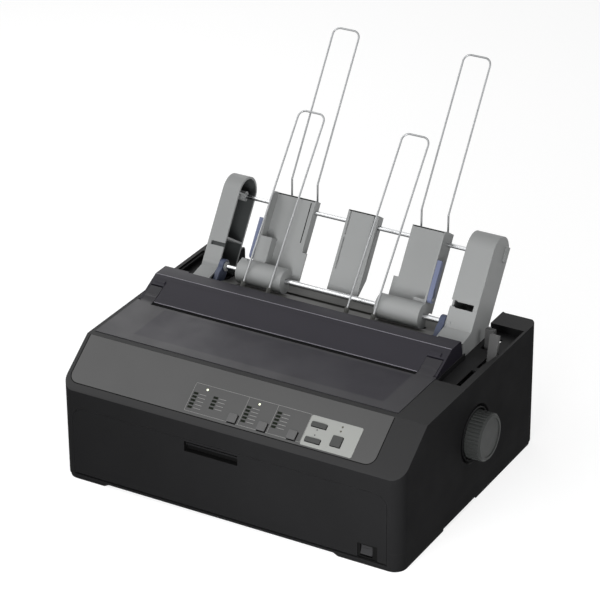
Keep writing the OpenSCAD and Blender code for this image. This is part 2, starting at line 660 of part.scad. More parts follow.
// points of the guide's upper face, from the hump back and down to the rear wall
function guide_face(t) = [
    [shaft_y - 29.4 + t, shaft_z - 5.5 - t], [shaft_y - 17.4, shaft_z - 9.6 - t],
    [shaft_y + 0.6, shaft_z - 15.9 - t], [shaft_y + 12, shaft_z - 16.6 - t],
    [shaft_y + 27, shaft_z - 17.8 - t], [body_d - 14 - t * 0.7, rear_top + 4]];

module rear_paper_guide() color("#1c1c1f") placed() {
    difference() {
        union() {
            along_x(guide_x0, guide_x1) polygon(concat(guide_face(0), [[body_d - 17, rear_top + 4]],
                [for (i = [4:-1:0]) guide_face(2.4)[i]]));
            // the front edge turned down behind the hump
            block([guide_x0, shaft_y - 29.4, shaft_z - 22], [guide_x1, shaft_y - 27, shaft_z - 5.9]);
            // cheeks and ribs
            for (i = [0:7]) let (x = guide_x0 + i * (guide_x1 - guide_x0 - 2) / 7) along_x(x, x + 2)
                polygon([guide_face(1)[0], guide_face(1)[1], guide_face(1)[2], guide_face(1)[3],
                    guide_face(1)[4], [shaft_y + 25, shaft_z - 34], [shaft_y - 28, shaft_z - 22]]);
            // sockets of the front wires
            for (x = front_legs) translate([x, wire_y, wire_z]) rotate([front_wire_tilt - 90, 0, 0])
                translate([0, 0, -13]) cylinder(h = 13, r = 2.7);
        }
        // the paper slot
        block([lh_x0, shaft_y + 2, shaft_z - 40], [rh_x1 + 2, shaft_y + 7, shaft_z]);
        for (x = front_legs) translate([x, wire_y, wire_z]) rotate([front_wire_tilt - 90, 0, 0])
            translate([0, 0, -11]) cylinder(h = 20, r = wire_d / 2 + 0.03);
    }
}

// ---- the mechanism inside ----

module side_frame(x0, flip) {
    difference() {
        along_x(x0, x0 + frame_t) difference() {
            polygon([[40, floor_z + 0.2], [frame_end, floor_z + 0.2], [frame_end, rear_top + 16], [frame_end - 55, shelf_z - 6],
                [150, shelf_z - 6], [40, 84]]);
            for (c = [[60, 30], [frame_end - 28, 60], [frame_end - 60, 40], [frame_end - 30, 95]]) translate(c) circle(11);
            translate([platen_y, platen_z]) circle(platen_shaft_d / 2 + run_fit);
            translate([rod_y, rod_z]) circle(rod_r);
        }
        // the motor's shaft passes here
        rod(x0 - 1, x0 + 5, pinion_y, pinion_z, 5);
    }
    // a foot turned out along the floor
    block([flip ? x0 - 12 : x0, 60, floor_z + 0.2], [flip ? x0 + frame_t : x0 + 14, frame_end - 10, floor_z + 2.2]);
}

module side_frame_left() color("#8b8f92") placed() side_frame(frame_l0, true);

module side_frame_right() color("#8b8f92") placed() {
    side_frame(frame_r0, false);
    // the bars that carry the levers
    rod(frame_r0, lever_x1 + 1, lever_y, lever_z, 3);
    rod(frame_r0, post_x1 + 2, post_y, lever_z, 3);
    along_x(frame_r0, frame_r0 + frame_t) polygon([[lever_y - 7, 100], [lever_y - 7, lever_z + 7],
        [post_y + 7, lever_z + 7], [post_y + 7, 90]]);
}

module front_guide() color("#202024") placed() {
    // the chute behind the front cover
    along_x(frame_l0 + 8, frame_r0 - 8) polygon([
        [22, floor_z + 0.2], [24, floor_z + 0.2], [24, 38], [70, 45.7], [70, 47.7], [22, 39.7]]);
    along_x(frame_l0 + 8, frame_r0 - 8) polygon([
        [22, 47], [60, 54], [60, 56], [24, 50], [24, 90], [22, 90]]);
    for (i = [0:6]) translate([frame_l0 + 14 + i * (frame_r0 - frame_l0 - 30) / 6, 23, 20]) cube([2, 37, 19]);
    // the rail that the carriage's front fingers slide along
    block([frame_l0 + frame_t, 72, 57], [frame_r0, 74, 70]);
    block([frame_l0 + frame_t, 58, 55.2], [frame_r0, 74, 57.2]);
}

module platen() color("#17171a") placed() difference() {
    rod(platen_x0, platen_x1, platen_y, platen_z, platen_r);
    rod(platen_x0 - 1, platen_x1 + 1, platen_y, platen_z, platen_shaft_d / 2 + 0.02);
}

module platen_shaft() color("#9a9ea2") placed()
    rod(frame_l0 - 5, knob_x1 - 4, platen_y, platen_z, platen_shaft_d / 2);

module platen_gear() color("#d8d6cc") placed() {
    gear(gear_x0, gear_x1, platen_y, platen_z, platen_teeth, 0, platen_shaft_d / 2 + 0.02);
}

module paper_feed_knob() color("#3a3a3c") placed() {
    difference() {
        union() {
            // the skirt with its flutes
            along_x(knob_x0, knob_x1 - 2) translate([platen_y, platen_z]) difference() {
                circle(knob_r);
                for (i = [0:flutes - 1]) rotate(i * 360 / flutes) translate([knob_r + 0.5, 0]) circle(1.3, $fn = 16);
            }
            translate([knob_x1 - 2, platen_y, platen_z]) rotate([0, 90, 0])
                cylinder(h = 2, r1 = knob_r - 0.8, r2 = knob_r - 2.2);
        }
        // the hollow behind the face
        rod(knob_x0 - 1, knob_x1 - 3.4, platen_y, platen_z, knob_r - 3);
        rod(knob_x1 - 0.7, knob_x1 + 1, platen_y, platen_z, knob_r - 5);
    }
    difference() {
        rod(knob_x0, knob_x1 - 3, platen_y, platen_z, platen_shaft_d / 2 + 3);
        rod(knob_x0 - 1, knob_x1 - 4 + 0.01, platen_y, platen_z, platen_shaft_d / 2 + 0.02);
    }
    for (a = [0:60:300]) translate([knob_x0 + 3, platen_y, platen_z]) rotate([a, 0, 0])
        block([0, platen_shaft_d / 2 + 2, -0.8], [knob_x1 - knob_x0 - 6, knob_r - 2.8, 0.8]);
}

module motor_pinion() color("#c9a24a") placed()
    gear(gear_x0, gear_x1, pinion_y, pinion_z, pinion_teeth, pinion_turn, 1.5 + run_fit);

module guide_rod() color("#b4b8bb") placed() rod(frame_l0 - 4, frame_r0 + 6, rod_y, rod_z, rod_r - 0.03);

module carriage() color("#2c2c30") placed() {
    difference() {
        union() {
            rod(head_x - 24, head_x + 24, rod_y, rod_z, rod_r + 4);
            block([head_x - 24, 76, 70.5], [head_x + 24, 126, 73.5]);
            block([head_x - 22, rod_y - 6, rod_z], [head_x - 18, rod_y + 6, 72]);
            block([head_x + 18, rod_y - 6, rod_z], [head_x + 22, rod_y + 6, 72]);
            // two fingers hold the rail
            block([head_x - 14, 74.4, 60], [head_x + 14, 76.4, 72]);
            block([head_x - 14, 69.4, 60], [head_x + 14, 71.6, 72]);
            block([head_x - 14, 69.4, 70.5], [head_x + 14, 78, 73.5]);
            // the clamp of the belt
            block([head_x - 5, belt_y + 4, belt_z0 - 1], [head_x + 5, belt_y + 5.6, 72]);
        }
        rod(head_x - 30, head_x + 30, rod_y, rod_z, rod_r + run_fit);
    }
}

module print_head() color("#55585b") placed() {
    block([head_x - 18, 96, 73.5], [head_x + 18, 128, 77]);
    // cooling fins round the coils
    for (i = [0:5]) translate([head_x, 98 + i * 5, platen_z + 7]) rotate([-90, 0, 0]) cylinder(h = 2.6, r = 15);
    translate([head_x, 97, platen_z + 7]) rotate([-90, 0, 0]) cylinder(h = 29, r = 11);
    along_x(head_x - 4, head_x + 4) polygon([
        [124, platen_z - 6], [124, platen_z + 18], [132, platen_z + 12], [head_tip, platen_z + 3],
        [head_tip, platen_z - 3], [132, platen_z - 5]]);
}

module ribbon_cartridge() color("#1f1f22") placed() {
    difference() {
        union() {
            block([head_x - 38, 78, 106.5], [head_x + 38, 128, 117]);
            for (s = [-1, 1]) along_x(head_x + s * 32 - 3, head_x + s * 32 + 3)
                polygon([[120, 108], [120, 117], [134, 108], [head_tip - 1, 92], [head_tip - 5, 90]]);
        }
        block([head_x - 12, 90, 105], [head_x + 12, 112, 113]);
    }
    translate([head_x - 22, 94, 116.5]) cylinder(h = 3.5, r = 6);
    // the legs stand on the carriage
    for (x = [head_x - 24, head_x + 21]) block([x, 90, 73.5], [x + 3, 100, 107]);
    // the ribbon in front of the platen
    block([head_x - 34, head_tip + 0.8, platen_z - 6], [head_x + 34, head_tip + 1, platen_z + 6]);
    for (s = [-1, 1]) block([head_x + s * 33 - 1, head_tip - 1, platen_z - 6], [head_x + s * 33 + 1, head_tip + 1, 94]);
}

module carriage_belt() color("#121214") placed() {
    difference() {
        translate([0, 0, belt_z0]) linear_extrude(belt_z1 - belt_z0) {
            translate([pulley_l, belt_y]) circle(pulley_r + 1.4);
            translate([pulley_r_x, belt_y]) circle(pulley_r + 1.4);
            translate([pulley_l, belt_y - pulley_r - 1.4]) square([pulley_r_x - pulley_l, 2 * pulley_r + 2.8]);
        }
        translate([0, 0, belt_z0 - 1]) linear_extrude(20) {
            translate([pulley_l, belt_y]) circle(pulley_r + 0.4);
            translate([pulley_r_x, belt_y]) circle(pulley_r + 0.4);
            translate([pulley_l, belt_y - pulley_r - 0.4]) square([pulley_r_x - pulley_l, 2 * pulley_r + 0.8]);
        }
    }
}

module pulley(x) translate([x, belt_y, 0]) difference() {
    union() {
        translate([0, 0, belt_z0 - 0.8]) cylinder(h = belt_z1 - belt_z0 + 1.6, r = pulley_r);
        translate([0, 0, belt_z0 - 2]) cylinder(h = 1.2, r = pulley_r + 2);
        translate([0, 0, belt_z1 + 0.8]) cylinder(h = 1.2, r = pulley_r + 2);
    }
    translate([0, 0, 40]) cylinder(h = 60, r = 2 + run_fit);
}
module pulley_left() color("#cfcabb") placed() pulley(pulley_l);
module pulley_right() color("#cfcabb") placed() pulley(pulley_r_x);

module motors() color("#4c4f52") placed() {
    // the paper motor outside the right frame
    rod(frame_r0 + frame_t, frame_r0 + frame_t + 22, pinion_y, pinion_z, 20);
    rod(gear_x1 + 0.6, frame_r0 + frame_t + 1, pinion_y, pinion_z, 3);
    block([frame_r0 + frame_t, pinion_y - 27, pinion_z - 6], [frame_r0 + frame_t + 1.5, pinion_y + 27, pinion_z + 6]);
    rod(gear_x0, gear_x1 + 1, pinion_y, pinion_z, 1.5);
    // the carriage motor under its pulley
    translate([pulley_r_x, belt_y, 20]) cylinder(h = 31, r = 17);
    translate([pulley_r_x, belt_y, 50]) cylinder(h = belt_z1 - 49, r = 2);
    block([pulley_r_x, belt_y - 9, 48.5], [frame_r0, belt_y + 9, 50.5]);
    // the idle pulley's pin and bracket
    translate([pulley_l, belt_y, 50]) cylinder(h = belt_z1 - 49, r = 2);
    block([frame_l0 + frame_t, belt_y - 9, 48.5], [pulley_l + 8, belt_y + 9, 50.5]);
}

module main_board() color("#2e6b45") placed() {
    block([board_x0, board_y0, floor_z + 8.5], [board_x1, board_y1, floor_z + 10.1]);
    for (i = [0:3]) translate([board_x0 + 15 + i * 34, board_y0 + 17, floor_z + 10]) cube([20, 36, 4]);
    for (i = [0:2]) translate([board_x1 - 24 - i * 18, board_y1 - 38, floor_z + 10]) cylinder(h = 16, r = 6);
    translate([board_x0 + 10, board_y1 - 38, floor_z + 10]) cube([70, 18, 2.5]);
}

module transformer() color("#6b6256") placed() {
    translate([core_x, core_y, floor_z]) cube([60, 52, 46]);
    translate([core_x + 10, core_y - 10, floor_z + 8]) cube([40, 72, 30]);
    translate([core_x - 6, core_y + 16, floor_z]) cube([72, 20, 3]);
}

module power_inlet() color("#17171a") placed() {
    difference() {
        union() {
            block([inlet_x - 13.5, body_d - 20, inlet_z - 9.7], [inlet_x + 13.5, body_d - 0.6, inlet_z + 9.7]);
            block([inlet_x - 18, body_d - wall - 2, inlet_z - 12], [inlet_x + 18, body_d - wall, inlet_z + 12]);
        }
        block([inlet_x - 11.5, body_d - 17, inlet_z - 7.7], [inlet_x + 11.5, body_d + 1, inlet_z + 7.7]);
    }
    // its three flat pins
    for (p = [[-7, -1.8], [7, -1.8], [0, 2.4]])
        block([inlet_x + p[0] - 1, body_d - 18, inlet_z + p[1] - 2], [inlet_x + p[0] + 1, body_d - 4, inlet_z + p[1] + 2]);
}

module interface_socket() color("#9fa3a6") placed() difference() {
    union() {
        block([port_x - 33, body_d - 12, port_z - 7.4], [port_x + 33, body_d - 0.8, port_z + 7.4]);
        block([port_x - 24, body_d - 22, port_z - 5], [port_x + 24, body_d - 11, port_z + 5]);
    }
    block([port_x - 26, body_d - 10, port_z - 4.6], [port_x + 26, body_d + 1, port_z + 4.6]);
}

module release_lever() color("#2e2e32") placed() difference() {
    union() {
        // a flat bar that leans back a little, on a hub under the deck
        along_x(lever_x0, lever_x1) polygon([
            [lever_y - 2, lever_z], [lever_y + 1.2, shelf_z - 2], [lever_y + 7.6, shaft_z + 4.6],
            [lever_y + 11.6, shaft_z + 3.6], [lever_y + 5.4, shelf_z - 3], [lever_y + 2, lever_z]]);
        rod(lever_x0, lever_x1, lever_y, lever_z, 6);
    }
    rod(lever_x0 - 1, lever_x1 + 1, lever_y, lever_z, 3 + run_fit);
}

module thickness_lever() color("#2e2e32") placed() difference() {
    union() {
        along_x(post_x0, post_x1) polygon([
            [post_y - 3, lever_z], [post_y - 1, shaft_z - 3], [post_y + 4, shaft_z - 3], [post_y + 3, lever_z]]);
        rod(post_x0, post_x1, post_y, lever_z, 6);
    }
    rod(post_x0 - 1, post_x1 + 1, post_y, lever_z, 3 + run_fit);
}

// ---- the cut-sheet feeder ----

// the arm and its foot from the side, from the drive shaft, t inside the outer face
module arm_outline(t) {
    difference() {
        rotate(feeder_tilt) {
            translate([arm_top_u, arm_mid]) circle(arm_top_r - t);
            translate([-14, arm_w0 + t]) square([arm_top_u + 14, arm_depth - 2 * t]);
        }
        translate([-60, foot_low - 60 - (t > 0 ? 1 : 0)]) square([200, 60]);
    }
    polygon([[0, -1 - t * 0.3], [-9, -1 - t * 0.3], [-27.2 + t, -4.8 - t], [-27.2 + t, foot_low - (t > 0 ? 1 : 0)],
        [42.6 - t, foot_low - (t > 0 ? 1 : 0)], [42.6 - t, -17 - t * 0.6], [28, -13.6 - t * 0.6]]);
}

module left_arm() color("#9a9c9c") placed() {
    difference() {
        translate([0, shaft_y, shaft_z]) difference() {
            union() {
                difference() {
                    along_x(left_out, left_in) arm_outline(0);
                    along_x(left_out + 2.4, left_in + 1) arm_outline(2.4);
                }
                // ribs across the hollow
                along_x(left_out + 1, left_in) intersection() {
                    arm_outline(1);
                    rotate(feeder_tilt) {
                        translate([arm_top_u - 2.1, arm_w0]) square([2.2, arm_depth]);
                        translate([shaft_gap * 0.365, arm_w0]) square([2.2, arm_depth]);
                    }
                }
                // bosses round the two shafts
                rod(left_out + 1, left_in, 0, 0, drive_d / 2 + 3.4);
                rotate([feeder_tilt, 0, 0]) rod(left_out + 1, left_in - 2, shaft_gap, upper_w, upper_d / 2 + 3);
            }
            rod(left_out - 1, left_in + 12, 0, 0, drive_d / 2 + run_fit);
            rotate([feeder_tilt, 0, 0]) {
                rod(left_out + 1, left_in + 1, shaft_gap, upper_w, upper_d / 2 + 0.02);
                // the slot in the front wall, open toward the middle
                block([left_out + 4, 20, arm_w1 - 4], [left_in + 1, 24.5, arm_w1 + 1]);
            }
        }
    }
    translate([0, shaft_y, shaft_z]) difference() {
        rod(left_in - 1, left_in + 8, 0, 0, hub_r);
        rod(left_in - 2, left_in + 9, 0, 0, drive_d / 2 + run_fit);
    }
}

module right_arm() color("#9a9c9c") placed() {
    translate([0, shaft_y, shaft_z]) difference() {
        union() {
            difference() {
                along_x(right_in, right_out) arm_outline(0);
                along_x(right_in + 2.4, right_out - 2.4) arm_outline(2.4);
            }
            // the tab on the outer side and the boss of the upper shaft
            rotate([feeder_tilt, 0, 0]) {
                block([right_out - 1, arm_top_u - 5, -31], [right_out + 2.2, arm_top_u + 12, -24]);
                rod(right_in + 1, right_in + 8, shaft_gap, upper_w, upper_d / 2 + 3);
            }
            rod(right_in + 1, right_in + 6, 0, 0, drive_d / 2 + 3.4);
            rod(right_in - 8, right_in + 1, 0, 0, hub_r);
        }
        rod(right_in - 9, right_in + 7, 0, 0, drive_d / 2 + run_fit);
        rotate([feeder_tilt, 0, 0]) {
            rod(right_in - 1, right_in + 9, shaft_gap, upper_w, upper_d / 2 + 0.02);
            // the slot across the front wall, running out at its left edge
            block([right_in + 6, 17, arm_w1 - 4], [right_out - 5, 24, arm_w1 + 1]);
            block([right_in - 1, 18, arm_w1 - 4], [right_in + 7, 25, arm_w1 + 1]);
        }
    }
}

module upper_shaft() color("#c3c7ca") placed() tilted()
    rod(left_out + 3, right_in + 7.6, shaft_gap, upper_w, upper_d / 2);

module drive_shaft() color("#c3c7ca") placed()
    rod(left_out - 0.5, right_in + 9, shaft_y, shaft_z, drive_d / 2);

// a hopper box: a plate with its rim turned back, open at the rear, riding on the upper shaft
module hopper_box(x0, x1) {
    difference() {
        block([x0, low_u, box_w], [x1, hopper_top, face_w]);
        block([x0 + skin, low_u + 9, box_w - 1], [x1 - skin, hopper_top - skin, face_w - skin]);
        // the lower edge is cut back to a thin lip
        along_x(x0 - 1, x1 + 1) polygon([[low_u - 1, face_w - 3], [low_u + 20, box_w], [low_u + 20, box_w - 1], [low_u - 1, box_w - 1]]);
    }
    for (i = [1:3]) block([x0 + 1, low_u + 22 * i - 4, box_w + 3], [x1 - 1, low_u + 22 * i - 2, face_w - 1]);
    for (i = [1:2]) block([x0 + i * (x1 - x0) / 3 - 1, low_u + 12, box_w + 3], [x0 + i * (x1 - x0) / 3 + 1, hopper_top - 1, face_w - 1]);
}
module shaft_sleeve(x0, x1) rod(x0, x1, shaft_gap, upper_w, upper_d / 2 + 2.2);
module shaft_bore(x0, x1) rod(x0 - 1, x1 + 1, shaft_gap, upper_w, upper_d / 2 + run_fit);

// the side guide in front of a hopper's paper face
module side_guide(x0, x1, low) along_x(x0, x1) {
    translate([0, box_w]) rounded(low, 0, hopper_top, guide_h + box_d, 9);
    translate([low, box_w]) square([20, guide_h + box_d - 9]);
    translate([low, box_w]) square([hopper_top - low, 9]);
}

// the housing round a feed roller, open toward the paper
module roller_housing(x0, x1) difference() {
    union() {
        rod(x0, x1, 0, 0, housing_r);
    }
    rod(x0 + 3, x1 - 3, 0, 0, housing_in);
    block([x0 - 1, -housing_r - 1, -housing_r - 1], [x1 + 1, housing_r + 1, face_w + 0.8]);
    rod(x0 - 1, x1 + 1, 0, 0, drive_d / 2 + 0.35);
}

module left_hopper() color("#9fa2a2") placed() tilted() difference() {
    union() {
        hopper_box(lh_x0, lh_x1);
        shaft_sleeve(lh_x0, lh_x1);
        side_guide(lh_x0, lh_x0 + skin, 10);
        // the block over the housing, with a recess beside it
        block([lh_x0, 10, face_w - 1], [lh_x0 + 16, 43, guide_h + face_w]);
        block([lh_x0 + 15, 12, face_w - 1], [lh_x0 + 18, 15, -2]);
        // the low step at the right edge
        along_x(lh_x1 - 1, lh_x1 + 6) polygon([[low_u, face_w - 2], [low_u, face_w], [25, face_w], [36, face_w], [36, face_w - 2]]);
        roller_housing(lh_x0 - 11, lh_x1 - 4);
        rod(lh_x0 - 11, lh_x0 - 4, 11, 5, 3);
        rod(lh_x0 - lever_t - 0.8, lh_x0 + 1, 20, -2, 1.8);
    }
    shaft_bore(lh_x0 - 2, lh_x1 + 2);
    rod(lh_x0 - 8, lh_x1 - 7, 0, 0, housing_in);
    rod(lh_x0 - 30, lh_x1 + 10, 0, 0, drive_d / 2 + 0.35);
    block([lh_x0 - 6, -housing_r - 1, -housing_r - 1], [lh_x1 - 8, low_u + 3, face_w + 0.8]);
    for (s = [-0.5, 0.5]) translate([lw_mid + s * wire_w, hopper_top - 8, wire_seat]) rotate([-90, 0, 0])
        cylinder(h = 20, r = wire_d / 2 + 0.05);
}

module right_hopper() color("#9fa2a2") placed() tilted() difference() {
    union() {
        hopper_box(rh_x0, rh_x1);
        shaft_sleeve(rh_x0, rh_x1);
        side_guide(rh_x1 - skin, rh_x1, 6);
        along_x(rh_x0 - 5.6, rh_x0 + 1) polygon([[low_u, face_w - 2], [low_u, face_w], [25, face_w], [36, face_w], [36, face_w - 2]]);
        roller_housing(rh_x0 - 7, rh_x1 + 1);
        block([rh_x1 - 16, 9, face_w - 1], [rh_x1, 18, 0]);
        rod(rh_x1 - 1, rh_x1 + lever_t + 0.8, 20, -2, 1.8);
    }
    shaft_bore(rh_x0 - 2, rh_x1 + 2);
    rod(rh_x0 - 4, rh_x1 - 2, 0, 0, housing_in);
    rod(rh_x0 - 30, rh_x1 + 10, 0, 0, drive_d / 2 + 0.35);
    block([rh_x0 - 3, -housing_r - 1, -housing_r - 1], [rh_x1 - 4, low_u + 3, face_w + 0.8]);
    for (s = [-0.5, 0.5]) translate([rw_mid + s * wire_w, hopper_top - 8, wire_seat]) rotate([-90, 0, 0])
        cylinder(h = 20, r = wire_d / 2 + 0.05);
}

module centre_support() color("#9fa2a2") placed() tilted() difference() {
    union() {
        hopper_box(cs_x0, cs_x1);
        shaft_sleeve(cs_x0, cs_x1);
    }
    shaft_bore(cs_x0 - 2, cs_x1 + 2);
    // the narrow slots beside the two edges
    block([cs_x0 + 3, 28, face_w - 1.6], [cs_x0 + 4.6, 64, face_w + 1]);
    block([cs_x0 + 3, 67, face_w - 1.6], [cs_x0 + 4.6, hopper_top + 1, face_w + 1]);
    block([cs_x1 - 5.6, 48, face_w - 1.6], [cs_x1 - 4, hopper_top + 1, face_w + 1]);
}

// a lock lever beside a hopper's side guide
module lock_lever(x0, x1) difference() {
    along_x(x0, x1) difference() {
        union() {
            translate([20, -2]) circle(4.4);
            polygon([[17.5, 1.6], [17, -6], [54, -5], [62, -2], [62.5, 2.2], [40, 2.4], [22, 2.4]]);
        }
        translate([20, -2]) circle(1.8 + run_fit);
    }
}
module left_lock_lever() color("#5a678c") placed() tilted() lock_lever(lh_x0 - 0.4 - lever_t, lh_x0 - 0.4);
module right_lock_lever() color("#5a678c") placed() tilted() lock_lever(rh_x1 + 0.4, rh_x1 + 0.4 + lever_t);

// a feed roller: two rubber rings on a tube
module feed_roller(x0, x1) translate([0, shaft_y, shaft_z]) difference() {
    union() {
        rod(x0, x1, 0, 0, drive_d / 2 + 2.4);
        rod(x0 + 8, x0 + 18, 0, 0, roller_r);
        rod(x1 - 18, x1 - 8, 0, 0, roller_r);
    }
    rod(x0 - 1, x1 + 1, 0, 0, drive_d / 2 + run_fit);
}
module left_feed_roller() color("#2a2a2c") placed() feed_roller(lh_x0 - 7.5, lh_x1 - 7.5);
module right_feed_roller() color("#2a2a2c") placed() feed_roller(rh_x0 - 3.5, rh_x1 - 2.5);

// a leg of a rear wire: out of the hopper's top, forward over a bend and straight up
module rear_leg(x) {
    translate([x, hopper_top - 8, wire_seat]) rotate([-90, 0, 0]) cylinder(h = 8, r = wire_d / 2, $fn = 24);
    translate([x, hopper_top, wire_seat]) sphere(r = wire_d / 2, $fn = 24);
    translate([x, hopper_top, wire_seat]) rotate([-90 + bend_a, 0, 0]) cylinder(h = bend_l, r = wire_d / 2, $fn = 24);
    translate([x, rear_wire_u, rear_wire_w]) sphere(r = wire_d / 2, $fn = 24);
    translate([x, rear_wire_u, rear_wire_w]) rotate([-90, 0, 0])
        cylinder(h = rear_wire_l - wire_bend - wire_d / 2, r = wire_d / 2, $fn = 24);
}
// the closed end of a wire, its two corners bent round
module wire_end(x0, x1) {
    for (s = [0, 1]) translate([s ? x1 - wire_bend : x0 + wire_bend, -wire_bend - wire_d / 2, 0]) rotate([0, 0, s ? 0 : 90])
        rotate_extrude(angle = 90, $fn = 48) translate([wire_bend, 0]) circle(wire_d / 2, $fn = 24);
    translate([x0 + wire_bend, -wire_d / 2, 0]) rotate([0, 90, 0])
        cylinder(h = x1 - x0 - 2 * wire_bend, r = wire_d / 2, $fn = 24);
}
module rear_wire(mid) tilted() {
    rear_leg(mid - wire_w / 2);
    rear_leg(mid + wire_w / 2);
    translate([0, rear_wire_top, rear_wire_w]) wire_end(mid - wire_w / 2, mid + wire_w / 2);
}
module left_rear_wire() color("#3c3d40") placed() rear_wire(lw_mid);
module right_rear_wire() color("#3c3d40") placed() rear_wire(rw_mid);

module stacker_wires() color("#3c3d40") placed()
    for (i = [0, 2]) translate([0, wire_y, wire_z]) rotate([front_wire_tilt, 0, 0]) {
        for (x = [front_legs[i], front_legs[i + 1]]) translate([x, -10, 0]) rotate([-90, 0, 0])
            cylinder(h = front_wire_l + 10 - wire_bend - wire_d / 2, r = wire_d / 2, $fn = 24);
        translate([0, front_wire_l, 0]) wire_end(front_legs[i], front_legs[i + 1]);
    }

// a latch lever turning on the bush round the drive shaft
module latch_lever(x0, x1) difference() {
    along_x(x0, x1) difference() {
        union() {
            circle(hub_r + 2.6);
            polygon([[-2, 7], [-8, 10.6], [-18, 11.6], [-19, 8], [-17, -4.6], [-10, -6.4], [0, -6]]);
        }
        circle(hub_r + run_fit);
    }
}
module left_latch_lever() color("#5a678c") placed() tilted() latch_lever(left_in + 0.4, left_in + 6.4);
module right_latch_lever() color("#5a678c") placed() tilted() latch_lever(right_in - 7.4, right_in - 0.4);

lower_case();
upper_housing();
rubber_feet();
control_panel();
button_plate();
indicator_lights();
indicator_windows();
panel_board();
hump_cover();
rear_paper_guide();
front_cover();
lid();
switch_body();
rocker_switch();
button_a();
button_b();
button_c();
button_d();
button_e();
button_f();
side_frame_left();
side_frame_right();
front_guide();
platen();
platen_shaft();
platen_gear();
paper_feed_knob();
motors();
motor_pinion();
guide_rod();
carriage();
print_head();
ribbon_cartridge();
carriage_belt();
pulley_left();
pulley_right();
main_board();
transformer();
power_inlet();
interface_socket();
release_lever();
thickness_lever();
left_arm();
right_arm();
upper_shaft();
drive_shaft();
left_hopper();
left_lock_lever();
left_feed_roller();
left_rear_wire();
right_hopper();
right_lock_lever();
right_feed_roller();
right_rear_wire();
centre_support();
left_latch_lever();
right_latch_lever();
stacker_wires();
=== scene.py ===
import bpy
import bmesh
import json
import math
from mathutils import Matrix, Vector


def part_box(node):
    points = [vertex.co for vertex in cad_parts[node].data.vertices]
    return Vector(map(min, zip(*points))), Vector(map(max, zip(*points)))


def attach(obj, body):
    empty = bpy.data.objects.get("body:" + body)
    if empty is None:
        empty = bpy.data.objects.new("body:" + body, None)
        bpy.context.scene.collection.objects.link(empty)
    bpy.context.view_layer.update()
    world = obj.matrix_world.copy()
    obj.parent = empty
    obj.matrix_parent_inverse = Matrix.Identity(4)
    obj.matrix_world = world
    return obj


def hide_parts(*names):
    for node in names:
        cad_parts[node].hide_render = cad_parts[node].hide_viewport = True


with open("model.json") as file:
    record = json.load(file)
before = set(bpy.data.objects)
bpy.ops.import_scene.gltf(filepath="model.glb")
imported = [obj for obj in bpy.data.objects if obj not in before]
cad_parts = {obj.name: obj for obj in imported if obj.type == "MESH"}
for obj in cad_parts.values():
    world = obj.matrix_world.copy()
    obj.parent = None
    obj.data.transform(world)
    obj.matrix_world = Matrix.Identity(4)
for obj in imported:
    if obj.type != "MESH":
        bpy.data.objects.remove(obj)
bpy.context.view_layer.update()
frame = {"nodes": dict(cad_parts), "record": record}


nodes = frame["nodes"]

# The row frame is the middle of the footprint, on the floor. Sizes below are millimetres from
# the middle of the body (x), its front face (y) and the floor (z). place() turns them into
# metres of the row frame.
ORIGIN_X = 8.9
ORIGIN_Y = 204.0024
HALF_W = 205.0
BODY_D = 315.0
CORNER = 14.0
DECK = 149.0
RIM = 111.0
CREASE = 54.5
SLOPE = math.atan2(DECK - RIM, CREASE - 2.0)
SHAFT_Y = 239.4
SHAFT_Z = 162.5
TILT = math.radians(56.3)


def place(x, y, z):
    return Vector(((x - ORIGIN_X) / 1000, (y - ORIGIN_Y) / 1000, z / 1000))


def on_slope(x, up, out):
    """A point of the sloping front: up it from the rim, and out of its face."""
    y = 2.0 + up * math.cos(SLOPE) - out * math.sin(SLOPE)
    z = RIM + up * math.sin(SLOPE) + out * math.cos(SLOPE)
    return place(x, y, z)


def on_feeder(x, u, w):
    """A point of the leaning feeder: u up its tilt from the drive shaft, w out of its face."""
    y = SHAFT_Y + u * math.cos(TILT) - w * math.sin(TILT)
    z = SHAFT_Z + u * math.sin(TILT) + w * math.cos(TILT)
    return place(x, y, z)


# ---- camera ----

CAMERA_X = 1320.74
CAMERA_Y = -2145.94
CAMERA_Z = 1569.4
AZIMUTH = math.radians(29.851)
ELEVATION = math.radians(27.394)
ROLL = math.radians(-0.411)
LENS = 169.22


def make_camera():
    back = Vector((math.sin(AZIMUTH) * math.cos(ELEVATION),
                   -math.cos(AZIMUTH) * math.cos(ELEVATION), math.sin(ELEVATION)))
    right = Vector((math.cos(AZIMUTH), math.sin(AZIMUTH), 0))
    up = back.cross(right)
    turned_right = right * math.cos(ROLL) + up * math.sin(ROLL)
    turned_up = up * math.cos(ROLL) - right * math.sin(ROLL)
    data = bpy.data.cameras.new("camera")
    data.lens = LENS
    data.sensor_width = 36
    data.clip_start = 0.05
    data.clip_end = 60
    camera = bpy.data.objects.new("camera", data)
    bpy.context.scene.collection.objects.link(camera)
    turn = Matrix((turned_right, turned_up, back)).transposed().to_4x4()
    camera.matrix_world = Matrix.Translation(place(CAMERA_X, CAMERA_Y, CAMERA_Z)) @ turn
    bpy.context.scene.camera = camera


make_camera()
bpy.context.scene.view_settings.view_transform = "Standard"


# ---- materials ----

